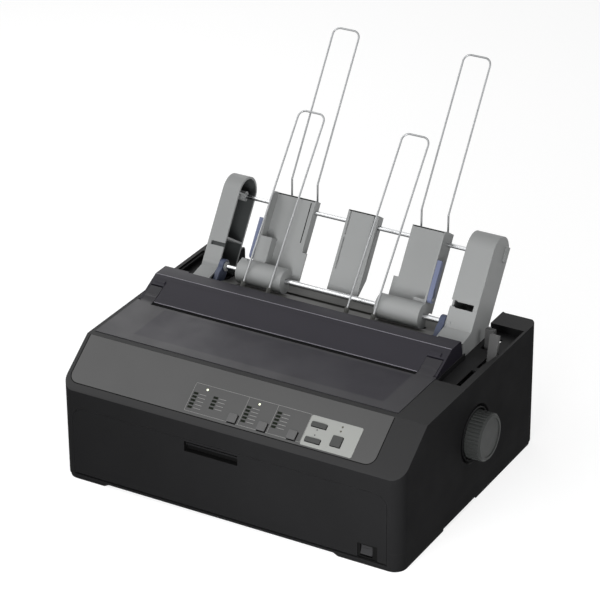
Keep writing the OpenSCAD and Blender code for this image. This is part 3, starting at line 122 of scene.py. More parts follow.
class Shader:
    """A node material built step by step."""

    def __init__(self, name):
        self.material = bpy.data.materials.new(name)
        self.material.use_nodes = True
        self.tree = self.material.node_tree
        self.tree.nodes.clear()
        self.out = self.tree.nodes.new("ShaderNodeOutputMaterial")
        self.surface = self.tree.nodes.new("ShaderNodeBsdfPrincipled")
        self.link(self.surface.outputs[0], self.out.inputs[0])
        self.coords = self.tree.nodes.new("ShaderNodeTexCoord").outputs["Object"]

    def link(self, source, target):
        self.tree.links.new(source, target)

    def noise(self, scale, detail=2.0, roughness=0.5, stretch=None):
        source = self.coords
        if stretch:
            mapping = self.tree.nodes.new("ShaderNodeMapping")
            mapping.inputs["Scale"].default_value = stretch
            self.link(source, mapping.inputs["Vector"])
            source = mapping.outputs[0]
        node = self.tree.nodes.new("ShaderNodeTexNoise")
        node.inputs["Scale"].default_value = scale
        node.inputs["Detail"].default_value = detail
        node.inputs["Roughness"].default_value = roughness
        self.link(source, node.inputs["Vector"])
        return node.outputs[0]

    def spread(self, value, low, high, new_low, new_high):
        node = self.tree.nodes.new("ShaderNodeMapRange")
        node.inputs["From Min"].default_value = low
        node.inputs["From Max"].default_value = high
        node.inputs["To Min"].default_value = new_low
        node.inputs["To Max"].default_value = new_high
        self.link(value, node.inputs["Value"])
        return node.outputs[0]

    def blend(self, factor, first, second):
        """Mixes two colours; each is a tuple or a socket."""
        node = self.tree.nodes.new("ShaderNodeMix")
        node.data_type = "RGBA"
        self.link(factor, node.inputs[0])
        for socket, value in ((node.inputs[6], first), (node.inputs[7], second)):
            if isinstance(value, tuple):
                socket.default_value = (*value, 1)
            else:
                self.link(value, socket)
        return node.outputs[2]

    def edges(self, radius):
        """A mask that is white along the outer edges, from rounded and true normals."""
        bevel = self.tree.nodes.new("ShaderNodeBevel")
        bevel.samples = 4
        bevel.inputs["Radius"].default_value = radius
        geometry = self.tree.nodes.new("ShaderNodeNewGeometry")
        dot = self.tree.nodes.new("ShaderNodeVectorMath")
        dot.operation = "DOT_PRODUCT"
        self.link(bevel.outputs[0], dot.inputs[0])
        self.link(geometry.outputs["Normal"], dot.inputs[1])
        return self.spread(dot.outputs["Value"], 1.0, 0.86, 0.0, 1.0)

    def times(self, first, second):
        node = self.tree.nodes.new("ShaderNodeMath")
        node.operation = "MULTIPLY"
        for socket, value in ((node.inputs[0], first), (node.inputs[1], second)):
            if isinstance(value, float):
                socket.default_value = value
            else:
                self.link(value, socket)
        return node.outputs[0]

    def along(self, axis, low, high):
        """0 below one place on an axis of the row frame, and 1 above another."""
        parts = self.tree.nodes.new("ShaderNodeSeparateXYZ")
        self.link(self.coords, parts.inputs[0])
        return self.spread(parts.outputs[axis], low, high, 0.0, 1.0)

    def facing_up(self):
        """1 on the faces that look up, and 0 on the upright ones."""
        coords = self.tree.nodes.new("ShaderNodeTexCoord")
        parts = self.tree.nodes.new("ShaderNodeSeparateXYZ")
        self.link(coords.outputs["Normal"], parts.inputs[0])
        return self.spread(parts.outputs["Z"], 0.25, 0.7, 0.0, 1.0)

    def bump(self, height, distance, strength=1.0, before=None):
        node = self.tree.nodes.new("ShaderNodeBump")
        node.inputs["Distance"].default_value = distance
        node.inputs["Strength"].default_value = strength
        self.link(height, node.inputs["Height"])
        if before:
            self.link(before, node.inputs["Normal"])
        return node.outputs[0]


def shade(colour, amount):
    return tuple(min(1.0, c * amount) for c in colour)


def plastic(name, colour, rough, specular, grain, depth, wear_and_highlight=0.35, vary=0.12, top_gloss=0.0):
    """Moulded plastic: mottled, with a fine grain, edges lightened as wear and as a painted highlight and, if
    asked, a gloss on top.
    """
    s = Shader(name)
    tone = s.noise(14.0, 3.0)
    mottled = s.blend(tone, shade(colour, 1 - vary), shade(colour, 1 + vary))
    scuffs = s.noise(160.0, 4.0, 0.6)
    # edges lighter partly as wear, partly as a painted highlight
    worn_and_highlit = s.times(s.edges(0.0008), s.spread(scuffs, 0.35, 0.7, 0.15, 1.0))
    lighter = tuple(min(1.0, c * 1.5 + 0.012) for c in colour)
    s.link(s.blend(s.times(worn_and_highlit, wear_and_highlight), mottled, lighter), s.surface.inputs["Base Color"])
    smudges = s.noise(26.0, 4.0, 0.55)
    s.link(s.spread(smudges, 0.3, 0.7, rough - 0.05, rough + 0.06), s.surface.inputs["Roughness"])
    s.surface.inputs["Specular IOR Level"].default_value = specular
    if top_gloss:
        s.link(s.times(s.facing_up(), top_gloss), s.surface.inputs["Coat Weight"])
        s.surface.inputs["Coat Roughness"].default_value = 0.48
    fine = s.bump(s.noise(grain, 3.0, 0.6), depth)
    s.link(s.bump(s.noise(40.0, 2.0), 0.00004, 0.5, fine), s.surface.inputs["Normal"])
    return s.material


def metal(name, colour, rough, stretch):
    """Steel with fine streaks."""
    s = Shader(name)
    streaks = s.noise(60.0, 4.0, 0.6, stretch)
    s.link(s.blend(streaks, shade(colour, 0.86), shade(colour, 1.12)), s.surface.inputs["Base Color"])
    s.surface.inputs["Metallic"].default_value = 1.0
    s.link(s.spread(streaks, 0.3, 0.7, rough - 0.05, rough + 0.07), s.surface.inputs["Roughness"])
    s.link(s.bump(streaks, 0.00002), s.surface.inputs["Normal"])
    return s.material


LID_WINDOW = (-160.0, 143.0, 76.0, 139.0)
WINDOW_SOFT = 0.0015


def smoked(name, colour, rim, clear):
    """Smoked plastic: mostly a dark gloss, with a little seen through it, its window painted darker as shade
    of the hollow under it, and a greyer rim.
    """
    s = Shader(name)
    # the window's colour is painted shade: darker for the shaded hollow under the lid
    window = s.blend(s.noise(9.0, 3.0), shade(colour, 0.88), shade(colour, 1.12))
    x0, x1, y0, y1 = LID_WINDOW
    low = place(x0, y0, 0)
    high = place(x1, y1, 0)
    across = s.times(s.along("X", low.x - WINDOW_SOFT, low.x + WINDOW_SOFT),
                     s.along("X", high.x + WINDOW_SOFT, high.x - WINDOW_SOFT))
    deep = s.times(s.along("Y", low.y - WINDOW_SOFT, low.y + WINDOW_SOFT),
                   s.along("Y", high.y + WINDOW_SOFT, high.y - WINDOW_SOFT))
    inside = s.times(across, deep)
    s.link(s.blend(inside, rim, window), s.surface.inputs["Base Color"])
    s.link(s.spread(s.noise(30.0, 4.0, 0.6), 0.3, 0.7, 0.32, 0.42), s.surface.inputs["Roughness"])
    s.surface.inputs["Specular IOR Level"].default_value = 0.22
    s.link(s.bump(s.noise(22.0, 2.0), 0.00005, 0.5), s.surface.inputs["Normal"])
    through = s.tree.nodes.new("ShaderNodeBsdfTransparent")
    through.inputs[0].default_value = (0.30, 0.28, 0.34, 1)
    mix = s.tree.nodes.new("ShaderNodeMixShader")
    s.link(s.spread(s.noise(5.0), 0.3, 0.7, clear - 0.03, clear + 0.03), mix.inputs[0])
    s.link(s.surface.outputs[0], mix.inputs[1])
    s.link(through.outputs[0], mix.inputs[2])
    s.link(mix.outputs[0], s.out.inputs[0])
    return s.material


LIT_LAMPS_END = 60.0


def lamp(name, colour, strength):
    """Small lenses: the two left of LIT_LAMPS_END are lit, the two on the label plate are dark."""
    s = Shader(name)
    end = place(LIT_LAMPS_END, 0, 0).x
    lit = s.along("X", end + 0.001, end - 0.001)
    glass = s.blend(s.noise(900.0), shade(colour, 0.9), colour)
    s.link(s.blend(lit, (0.05, 0.045, 0.03), glass), s.surface.inputs["Base Color"])
    s.surface.inputs["Roughness"].default_value = 0.25
    s.surface.inputs["Emission Color"].default_value = (*colour, 1)
    s.link(s.times(lit, strength), s.surface.inputs["Emission Strength"])
    return s.material


MATERIALS = {
    # case_dark is the same plastic as panel_dark, painted darker as painted shade on the walls that get
    # little light
    "case_dark": plastic("case_dark", (0.0125, 0.0125, 0.0130),
        rough=0.60, specular=0.010, grain=1400.0, depth=0.00004, wear_and_highlight=0.5, vary=0.12, top_gloss=0.36),
    "panel_dark": plastic("panel_dark", (0.034, 0.034, 0.034),
        rough=0.48, specular=0.08, grain=1600.0, depth=0.00002, wear_and_highlight=0.35, vary=0.12, top_gloss=0.6),
    "lid_smoke": smoked("lid_smoke", (0.010, 0.0085, 0.015), (0.028, 0.027, 0.031), 0.12),
    "hump_grey": plastic("hump_grey", (0.0135, 0.0122, 0.0175),
        rough=0.42, specular=0.08, grain=1500.0, depth=0.00002, wear_and_highlight=0.5, vary=0.12, top_gloss=0.30),
    # a painted highlight: the light lines on the hump's ridge and front foot
    "hump_highlight": plastic("hump_highlight", (0.13, 0.125, 0.145),
        rough=0.38, specular=0.4, grain=1500.0, depth=0.00002),
    "inner_black": plastic("inner_black", (0.010, 0.010, 0.011),
        rough=0.5, specular=0.2, grain=1200.0, depth=0.00003),
    # black for real gaps and the switch body, and for painted shade: the keys' shadows, the finger slot, the
    # lid's rear edge; also the feeder's dark strips
    "gap_and_shade_black": plastic("gap_and_shade_black", (0.004, 0.004, 0.004),
        rough=0.8, specular=0.05, grain=1200.0, depth=0.00002, wear_and_highlight=0.0),
    "window_dark": plastic("window_dark", (0.006, 0.008, 0.005),
        rough=0.5, specular=0.05, grain=1800.0, depth=0.00001, wear_and_highlight=0.0),
    "guide_grey": plastic("guide_grey", (0.070, 0.070, 0.066),
        rough=0.50, specular=0.2, grain=1400.0, depth=0.00003),
    "label_grey": plastic("label_grey", (0.215, 0.22, 0.21),
        rough=0.50, specular=0.2, grain=1800.0, depth=0.00001, wear_and_highlight=0.1, vary=0.05),
    "key_grey": plastic("key_grey", (0.040, 0.041, 0.040),
        rough=0.45, specular=0.15, grain=1500.0, depth=0.00002, wear_and_highlight=0.5, vary=0.08),
    "key_dark": plastic("key_dark", (0.062, 0.062, 0.062),
        rough=0.45, specular=0.25, grain=1500.0, depth=0.00002, wear_and_highlight=0.6),
    "lamp_lens": lamp("lamp_lens", (0.86, 0.90, 0.62), 0.7),
    "rubber_black": plastic("rubber_black", (0.014, 0.014, 0.014),
        rough=0.75, specular=0.3, grain=700.0, depth=0.00005, wear_and_highlight=0.1),
    "feeder_grey": plastic("feeder_grey", (0.262, 0.268, 0.267),
        rough=0.50, specular=0.25, grain=1300.0, depth=0.00004, wear_and_highlight=0.25, vary=0.06),
    # the feeder's plastic painted dark, as painted shade inside the left arm's hollow
    "feeder_dark": plastic("feeder_dark", (0.062, 0.066, 0.066),
        rough=0.60, specular=0.1, grain=1300.0, depth=0.00004, wear_and_highlight=0.2, vary=0.1),
    "lever_blue": plastic("lever_blue", (0.130, 0.150, 0.235),
        rough=0.45, specular=0.3, grain=1500.0, depth=0.00002, wear_and_highlight=0.3, vary=0.10),
    "lever_slate": plastic("lever_slate", (0.050, 0.062, 0.105),
        rough=0.45, specular=0.3, grain=1500.0, depth=0.00002, wear_and_highlight=0.4, vary=0.12),
    "bright_steel": metal("bright_steel", (0.66, 0.67, 0.68), 0.24, (0.05, 3.0, 3.0)),
    "sheet_steel": metal("sheet_steel", (0.30, 0.31, 0.32), 0.42, (1.0, 1.0, 1.0)),
    "wire_dark": metal("wire_dark", (0.30, 0.305, 0.31), 0.34, (1.0, 1.0, 1.0)),
    "knob_dark": plastic("knob_dark", (0.032, 0.034, 0.033),
        rough=0.52, specular=0.15, grain=1400.0, depth=0.00003, wear_and_highlight=0.5),
    "gear_white": plastic("gear_white", (0.70, 0.68, 0.62),
        rough=0.5, specular=0.4, grain=1400.0, depth=0.00002, wear_and_highlight=0.1, vary=0.04),
    "board_green": plastic("board_green", (0.028, 0.11, 0.055),
        rough=0.35, specular=0.5, grain=600.0, depth=0.00003, wear_and_highlight=0.1),
    "core_brown": plastic("core_brown", (0.15, 0.125, 0.10),
        rough=0.5, specular=0.4, grain=300.0, depth=0.0001, wear_and_highlight=0.2),
    "motor_grey": metal("motor_grey", (0.10, 0.105, 0.11), 0.45, (1.0, 1.0, 1.0)),
    "print_light": plastic("print_light", (0.17, 0.17, 0.165),
        rough=0.5, specular=0.3, grain=1500.0, depth=0.00001, wear_and_highlight=0.0, vary=0.2),
    "print_dark": plastic("print_dark", (0.03, 0.03, 0.03),
        rough=0.5, specular=0.3, grain=1500.0, depth=0.00001, wear_and_highlight=0.0, vary=0.2),
}


# ---- CAD nodes: rounded edges and materials ----

slots = {part["node"]: part["material_slot"] for part in frame["record"]["subparts"]}

# nodes whose finish is lighter or darker than the other pieces of their slot
OWN_FINISH = {
    "indicator_windows": "window_dark", "rocker_switch": "inner_black", "switch_body": "gap_and_shade_black",
    "rear_paper_guide": "guide_grey", "left_latch_lever": "lever_slate", "right_latch_lever": "lever_slate",
}

# rounding of the moulded edges, in millimetres
ROUNDING = {
    "upper_housing": 0.9, "lower_case": 0.9, "front_cover": 0.7, "hump_cover": 0.7, "lid": 0.5,
    "control_panel": 0.35, "button_plate": 0.15, "left_arm": 0.7, "right_arm": 0.7,
    "left_hopper": 0.5, "right_hopper": 0.5, "centre_support": 0.5, "rear_paper_guide": 0.5,
    "release_lever": 0.8, "thickness_lever": 0.8, "paper_feed_knob": 0.3,
    "left_lock_lever": 0.5, "right_lock_lever": 0.5, "left_latch_lever": 0.5,
    "right_latch_lever": 0.5, "rocker_switch": 0.4, "switch_body": 0.4,
    "button_a": 0.4, "button_b": 0.4, "button_c": 0.4, "button_d": 0.4, "button_e": 0.4,
    "button_f": 0.4, "carriage": 0.4, "print_head": 0.4, "ribbon_cartridge": 0.5,
}


def round_edges(obj, radius):
    """Joins the split corners of the imported mesh and bevels its sharp edges."""
    weld = obj.modifiers.new("weld", "WELD")
    weld.merge_threshold = 0.000004
    bevel = obj.modifiers.new("rounding", "BEVEL")
    bevel.width = radius / 1000
    bevel.segments = 2
    bevel.limit_method = "ANGLE"
    bevel.angle_limit = math.radians(32)
    bevel.use_clamp_overlap = True
    bevel.harden_normals = False
    normals = obj.modifiers.new("normals", "WEIGHTED_NORMAL")
    normals.keep_sharp = False


for name, node in nodes.items():
    node.data.materials.clear()
    node.data.materials.append(MATERIALS[OWN_FINISH.get(name, slots[name])])
    if name in ROUNDING:
        round_edges(node, ROUNDING[name])


# ---- pieces added to the CAD: a small mesh kit ----

def new_piece(name, mesh, body, finish):
    """Makes an object of the mesh with the given finish, under the body's empty."""
    obj = bpy.data.objects.new(name, mesh)
    bpy.context.scene.collection.objects.link(obj)
    obj.data.materials.append(MATERIALS[finish])
    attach(obj, body)
    return obj


def corner_points(x0, y0, x1, y1, radius, steps=5):
    """The outline of a rectangle with round corners, anticlockwise."""
    points = []
    for cx, cy, start in ((x1 - radius, y0 + radius, -90), (x1 - radius, y1 - radius, 0),
                          (x0 + radius, y1 - radius, 90), (x0 + radius, y0 + radius, 180)):
        for i in range(steps + 1):
            angle = math.radians(start + 90 * i / steps)
            points.append((cx + radius * math.cos(angle), cy + radius * math.sin(angle)))
    return points


def circle_points(radius, steps):
    points = []
    for i in range(steps):
        angle = 2 * math.pi * i / steps
        points.append((radius * math.cos(angle), radius * math.sin(angle)))
    return points


def add_prism(bm, outline, low, high, put):
    """A flat shape with a thickness; put() turns its two flat coordinates and height into a place."""
    bottom = [bm.verts.new(put(x, y, low)) for x, y in outline]
    top = [bm.verts.new(put(x, y, high)) for x, y in outline]
    bm.faces.new(top)
    bm.faces.new(bottom[::-1])
    for i in range(len(outline)):
        j = (i + 1) % len(outline)
        bm.faces.new((bottom[i], bottom[j], top[j], top[i]))


def add_frame(bm, outer, inner, low, high, put):
    """A closed band between two outlines with the same number of points."""
    rings = [[bm.verts.new(put(x, y, h)) for x, y in outline]
             for outline, h in ((outer, low), (outer, high), (inner, high), (inner, low))]
    count = len(outer)
    for i in range(count):
        j = (i + 1) % count
        for a, b in ((0, 1), (1, 2), (2, 3), (3, 0)):
            bm.faces.new((rings[a][i], rings[a][j], rings[b][j], rings[b][i]))


def piece_from(bm, name, body, finish):
    bmesh.ops.recalc_face_normals(bm, faces=bm.faces)
    mesh = bpy.data.meshes.new(name)
    bm.to_mesh(mesh)
    bm.free()
    new_piece(name, mesh, body, finish)


# ---- the upper housing, with its rear opening cut clean ----

# the block that takes out the strip
CUT_LEFT = -162.9
CUT_RIGHT = 162.4
CUT_FRONT = 286.0
CUT_BACK = 316.0
CUT_LOW = 104.5
CUT_HIGH = 151.0


def make_housing_shell():
    """The housing node as it is, less a thin strip left standing across the rear opening."""
    source = nodes["upper_housing"]
    bm = bmesh.new()
    bm.from_mesh(source.data)
    bmesh.ops.remove_doubles(bm, verts=bm.verts, dist=0.000004)
    mesh = bpy.data.meshes.new("housing_shell")
    bm.to_mesh(mesh)
    bm.free()
    block = bmesh.new()
    plan = [(CUT_LEFT, CUT_FRONT), (CUT_RIGHT, CUT_FRONT), (CUT_RIGHT, CUT_BACK), (CUT_LEFT, CUT_BACK)]
    add_prism(block, plan, CUT_LOW, CUT_HIGH, place)
    bmesh.ops.recalc_face_normals(block, faces=block.faces)
    cutter_mesh = bpy.data.meshes.new("cutter")
    block.to_mesh(cutter_mesh)
    block.free()
    cutter = bpy.data.objects.new("cutter", cutter_mesh)
    shell = bpy.data.objects.new("shell", mesh)
    for obj in (cutter, shell):
        bpy.context.scene.collection.objects.link(obj)
    cut = shell.modifiers.new("cut", "BOOLEAN")
    cut.operation = "DIFFERENCE"
    cut.solver = "EXACT"
    cut.object = cutter
    cut_shell = shell.evaluated_get(bpy.context.evaluated_depsgraph_get())
    done = bpy.data.meshes.new_from_object(cut_shell)
    bpy.data.objects.remove(shell)
    bpy.data.objects.remove(cutter)
    done.materials.clear()
    piece = new_piece("housing_shell", done, "chassis", "case_dark")
    round_edges(piece, ROUNDING["upper_housing"])
    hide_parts("upper_housing")


make_housing_shell()


# ---- prints on the control panel ----

PRINT_HIGH = 0.06
LINE = 0.35
BOX_LEFT = -57.2
BOX_RIGHT = 81.6
BOX_LOW = 10.3
BOX_TOP = 43.7
DIVIDERS = (7.4, 42.3)
WINDOW_COLUMNS = ((-52.5, 15.3, 5), (-28.8, 20.2, 4), (11.5, 16.0, 5), (46.6, 19.0, 5))
WINDOW_PITCH = 4.1
TICK_START = 4.2
TICK_END = 12.6
TICK_HALF = 0.25
LABEL_LEFT = 82.0
LABEL_LOW = 8.5
LABEL_THICK = 0.3
ARROW_HALF = 1.1
SQUARE_KEY = 9.8
SQUARE_KEY_UP = 15.8
SQUARE_KEYS = (-1.0, 34.4, 70.0)
# x and height of the middle, width and height of each key on the label plate
LABEL_KEYS = ((94.0, 33.8, 17.5, 5.3), (94.0, 16.1, 17.5, 5.3), (119.5, 21.8, 11.7, 11.7))


def make_panel_prints():
    bm = bmesh.new()
    add_frame(bm, corner_points(BOX_LEFT, BOX_LOW, BOX_RIGHT, BOX_TOP, 1.2),
              corner_points(BOX_LEFT + LINE, BOX_LOW + LINE, BOX_RIGHT - LINE, BOX_TOP - LINE, 1.2 - LINE),
              0.0, PRINT_HIGH, on_slope)
    for x in DIVIDERS:
        add_prism(bm, corner_points(x - LINE / 2, BOX_LOW + LINE, x + LINE / 2, BOX_TOP - LINE, 0.1, 1),
                  0.0, PRINT_HIGH, on_slope)
    for x, lowest, count in WINDOW_COLUMNS:
        for i in range(count):
            middle = lowest + i * WINDOW_PITCH
            tick = corner_points(x + TICK_START, middle - TICK_HALF, x + TICK_END, middle + TICK_HALF, 0.2, 2)
            add_prism(bm, tick, 0.0, PRINT_HIGH, on_slope)
    piece_from(bm, "panel_prints", "chassis", "print_light")


def make_label_prints():
    """Two small arrowheads between the wide keys of the label plate."""
    bm = bmesh.new()
    x = LABEL_LEFT + 12.0
    upper = [(x - ARROW_HALF, LABEL_LOW + 19.2), (x + ARROW_HALF, LABEL_LOW + 19.2), (x, LABEL_LOW + 21.0)]
    lower = [(x - ARROW_HALF, LABEL_LOW + 14.4), (x, LABEL_LOW + 12.6), (x + ARROW_HALF, LABEL_LOW + 14.4)]
    add_prism(bm, upper, LABEL_THICK, LABEL_THICK + PRINT_HIGH, on_slope)
    add_prism(bm, lower, LABEL_THICK, LABEL_THICK + PRINT_HIGH, on_slope)
    piece_from(bm, "label_prints", "chassis", "print_dark")


SHADOW_INSET = 0.4


def add_key_shadow(bm, cx, cv, width, height, thick, low, high):
    """The painted shadow along the right and the lower side of a key."""
    x0 = cx - width / 2
    x1 = cx + width / 2
    v0 = cv - height / 2
    v1 = cv + height / 2
    left = x0 + SHADOW_INSET
    top = v1 - SHADOW_INSET
    outline = [(left, v0), (left, v0 - thick), (x1 + thick, v0 - thick),
               (x1 + thick, top), (x1, top), (x1, v0)]
    add_prism(bm, outline, low, high, on_slope)


def make_key_shadows():
    bm = bmesh.new()
    # painted shadows at the right and lower sides of the keys
    for x in SQUARE_KEYS:
        add_key_shadow(bm, x, SQUARE_KEY_UP, SQUARE_KEY, SQUARE_KEY, 1.4, 0.0, 0.09)
    for x, up, width, height in LABEL_KEYS:
        add_key_shadow(bm, x, up, width, height, 0.8, LABEL_THICK, 0.38)
    piece_from(bm, "key_shadows", "chassis", "gap_and_shade_black")


make_panel_prints()
make_label_prints()
make_key_shadows()


# ---- painted shade in the finger slot ----

SLOT_LEFT = -51.95
SLOT_W = 65.0
SLOT_LOW = 74.2
SLOT_H = 12.2
SHADE_PLATE = 0.3
SHADE_PLATE_FRONT = 0.6
SHADE_PLATE_BACK = 7.0


def make_slot_shade():
    """Thin dark plates, painted shade, on the floor, the ceiling, the back and the two ends of the slot."""
    bm = bmesh.new()
    x0 = SLOT_LEFT + 0.05
    x1 = SLOT_LEFT + SLOT_W - 0.05
    top = SLOT_LOW + SLOT_H - 0.05
    floor = [(x0, SHADE_PLATE_FRONT), (x1, SHADE_PLATE_FRONT), (x1, 7.3), (x0, 7.3)]
    back = [(x0, SHADE_PLATE_BACK), (x1, SHADE_PLATE_BACK), (x1, 7.35), (x0, 7.35)]
    left = [(x0, SHADE_PLATE_FRONT), (x0 + SHADE_PLATE, SHADE_PLATE_FRONT), (x0 + SHADE_PLATE, SHADE_PLATE_BACK), (x0, SHADE_PLATE_BACK)]
    right = [(x1 - SHADE_PLATE, SHADE_PLATE_FRONT), (x1, SHADE_PLATE_FRONT), (x1, SHADE_PLATE_BACK), (x1 - SHADE_PLATE, SHADE_PLATE_BACK)]
    add_prism(bm, floor, SLOT_LOW + 0.02, SLOT_LOW + SHADE_PLATE, place)
    add_prism(bm, floor, top - SHADE_PLATE, top, place)
    for plate in (back, left, right):
        add_prism(bm, plate, SLOT_LOW + SHADE_PLATE, top - SHADE_PLATE, place)
    piece_from(bm, "slot_shade", "front_door", "gap_and_shade_black")


make_slot_shade()


# ---- the groove round the control panel ----

PANEL_LEFT = -200.5
PANEL_RIGHT = 168.0
PANEL_LOW = 6.5
PANEL_TOP = 64.0
PANEL_CORNER = 11.0
GROOVE = 1.0


def u_outline(inset):
    """The panel's outline without its upper edge, from the upper left round to the upper right."""
    left = PANEL_LEFT + inset
    right = PANEL_RIGHT - inset
    low = PANEL_LOW + inset
    radius = PANEL_CORNER - inset
    points = [(left, PANEL_TOP)]
    for cx, start in ((left + radius, 180), (right - radius, 270)):
        for i in range(7):
            angle = math.radians(start + 90 * i / 6)
            points.append((cx + radius * math.cos(angle), low + radius + radius * math.sin(angle)))
    points.append((right, PANEL_TOP))
    return points


def make_panel_groove():
    bm = bmesh.new()
    add_prism(bm, u_outline(-GROOVE / 2) + u_outline(GROOVE / 2)[::-1], -0.05, 0.07, on_slope)
    piece_from(bm, "panel_groove", "chassis", "gap_and_shade_black")


make_panel_groove()


# ---- the skirt and the feet round the bottom edge ----

SKIRT_LOW = 3.2
SKIRT_MID = 6.2
SKIRT_TOP = 13.2
SKIRT_IN = 9.0
EDGE = 1.6
DOOR_LEFT = -192.2
DOOR_RIGHT = 188.7
FOOT_LOW = 0.4
FOOT_SLANT = 6.0


def plan_outline(inset):
    return corner_points(-HALF_W + inset, inset, HALF_W - inset, BODY_D - inset, CORNER - inset, 8)


def open_outline(inset):
    """The plan's outline from the right of the front door round to its left."""
    points = [(DOOR_RIGHT, inset)] + plan_outline(inset)[:-1]
    centre = -HALF_W + CORNER
    rise = math.sqrt((CORNER - inset) ** 2 - (centre - DOOR_LEFT) ** 2)
    points.append((DOOR_LEFT, CORNER - rise))
    return points


def add_sleeve(bm, rings, closed):
    """Joins outlines with the same number of points into a closed band."""
    verts = [[bm.verts.new(place(x, y, z)) for x, y in outline] for outline, z in rings]
    count = len(verts[0])
    for i in range(count if closed else count - 1):
        j = (i + 1) % count
        for a in range(len(verts)):
            b = (a + 1) % len(verts)
            bm.faces.new((verts[a][i], verts[a][j], verts[b][j], verts[b][i]))
    if not closed:
        bm.faces.new([ring[0] for ring in verts])
        bm.faces.new([ring[-1] for ring in verts][::-1])


def make_base_skirt():
    """A band all round the bottom edge, and above it one that leaves the front door free."""
    bm = bmesh.new()
    lower = [(plan_outline(SKIRT_IN), SKIRT_LOW)]
    for i in range(4):
        angle = math.radians(90 * i / 3)
        inset = EDGE - EDGE * math.sin(angle)
        lower.append((plan_outline(inset), SKIRT_LOW + EDGE - EDGE * math.cos(angle)))
    lower += [(plan_outline(0), SKIRT_MID), (plan_outline(SKIRT_IN), SKIRT_MID)]
    add_sleeve(bm, lower, True)
    upper = [(open_outline(SKIRT_IN), SKIRT_MID), (open_outline(0), SKIRT_MID),
             (open_outline(0), SKIRT_TOP), (open_outline(SKIRT_IN), SKIRT_TOP)]
    add_sleeve(bm, upper, False)
    piece_from(bm, "base_skirt", "chassis", "case_dark")


def add_foot(bm, side, length, y0, y1):
    """A foot flush with the corner's walls, its inner end slanted; side is -1 or 1."""
    def put(x, y, z):
        return place(side * x, y, z)
    front = y0 == 0
    inset = 1.0
    end = HALF_W - length
    wall = HALF_W - inset
    cy = inset + CORNER if front else BODY_D - inset - CORNER
    turn = -1 if front else 1
    outline = []
    for i in range(9):
        angle = math.radians(90 * i / 8)
        outline.append((wall - CORNER + CORNER * math.cos(angle), cy + turn * CORNER * math.sin(angle)))
    near = inset if front else BODY_D - inset
    far = y1 if front else y0
    top = outline + [(end, near), (end, far), (wall, far)]
    bottom = outline + [(end + FOOT_SLANT, near), (end + FOOT_SLANT, far), (wall, far)]
    low = [bm.verts.new(put(x, y, FOOT_LOW)) for x, y in bottom]
    high = [bm.verts.new(put(x, y, SKIRT_LOW + 0.4)) for x, y in top]
    bm.faces.new(high)
    bm.faces.new(low[::-1])
    for i in range(len(low)):
        j = (i + 1) % len(low)
        bm.faces.new((low[i], low[j], high[j], high[i]))


def make_corner_feet():
    bm = bmesh.new()
    add_foot(bm, -1, 56.0, 0, 97.0)
    add_foot(bm, 1, 80.0, 0, 97.0)
    add_foot(bm, -1, 60.0, 173.0, BODY_D)
    add_foot(bm, 1, 60.0, 173.0, BODY_D)
    piece_from(bm, "corner_feet", "chassis", "case_dark")


make_base_skirt()
make_corner_feet()


# ---- painted highlight on the hump's edges and painted shade at the lid's rear edge ----

HUMP_LEFT = -199.0
HUMP_RIGHT = 167.0
HUMP_Y = 148.3
RIDGE_Y = 183.0
RIDGE_Z = DECK + 16.5
LID_TOP = DECK + 0.5
EAR_LEFT = -180.5
EAR_RIGHT = 144.8
# front and back of the strip of painted shade on the lid's rear edge
LID_SHADE_FRONT = 142.5
LID_SHADE_BACK = 146.9


def add_bead(bm, x0, x1, y, z, radius):
    """A thin round bead along x."""
    add_prism(bm, circle_points(radius, 10), x0, x1, lambda a, b, x: place(x, y + a, z + b))


def make_hump_beads():
    """Light beads along the hump's ridge and along its front foot: a painted highlight on both edges."""
    bm = bmesh.new()
    add_bead(bm, HUMP_LEFT + 0.5, HUMP_RIGHT - 0.5, RIDGE_Y + 0.2, RIDGE_Z - 0.25, 0.55)
    add_bead(bm, EAR_LEFT + 1.0, EAR_RIGHT - 1.0, HUMP_Y + 0.3, DECK + 0.7, 0.5)
    piece_from(bm, "hump_beads", "chassis", "hump_highlight")


def make_lid_shade_strip():
    """A dark strip along the lid's rear edge: painted shade of the gap between the lid and the hump."""
    bm = bmesh.new()
    plan = corner_points(EAR_LEFT, LID_SHADE_FRONT, EAR_RIGHT, LID_SHADE_BACK, 0.6, 3)
    add_prism(bm, plan, LID_TOP - 0.05, LID_TOP + 0.12, place)
    piece_from(bm, "lid_shade_strip", "top_lid", "gap_and_shade_black")


make_hump_beads()
make_lid_shade_strip()


# ---- the knob's collar ----

COLLAR_IN = 28.1
COLLAR_OUT = 29.9


def make_knob_collar():
    """A ring on the side wall round the knob."""
    bm = bmesh.new()
    low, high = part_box("paper_feed_knob")
    cy = (low[1] + high[1]) / 2
    cz = (low[2] + high[2]) / 2
    rows = ((COLLAR_IN, -3.0), (COLLAR_IN, 0.2), (COLLAR_IN + 0.5, 0.55), (COLLAR_OUT - 0.6, 0.55),
            (COLLAR_OUT, 0.1), (COLLAR_OUT, -3.0))
    steps = 72
    rings = []
    for radius, out in rows:
        ring = []
        for i in range(steps):
            angle = 2 * math.pi * i / steps
            x = place(HALF_W + out, 0, 0).x
            y = cy + radius / 1000 * math.cos(angle)
            z = cz + radius / 1000 * math.sin(angle)
            ring.append(bm.verts.new((x, y, z)))
        rings.append(ring)
    for a in range(len(rings)):
        b = (a + 1) % len(rings)
        for i in range(steps):
            j = (i + 1) % steps
            bm.faces.new((rings[a][i], rings[a][j], rings[b][j], rings[b][i]))
    piece_from(bm, "knob_collar", "chassis", "case_dark")


make_knob_collar()


# ---- painted shade in the left arm, and dark strips on the feeder ----

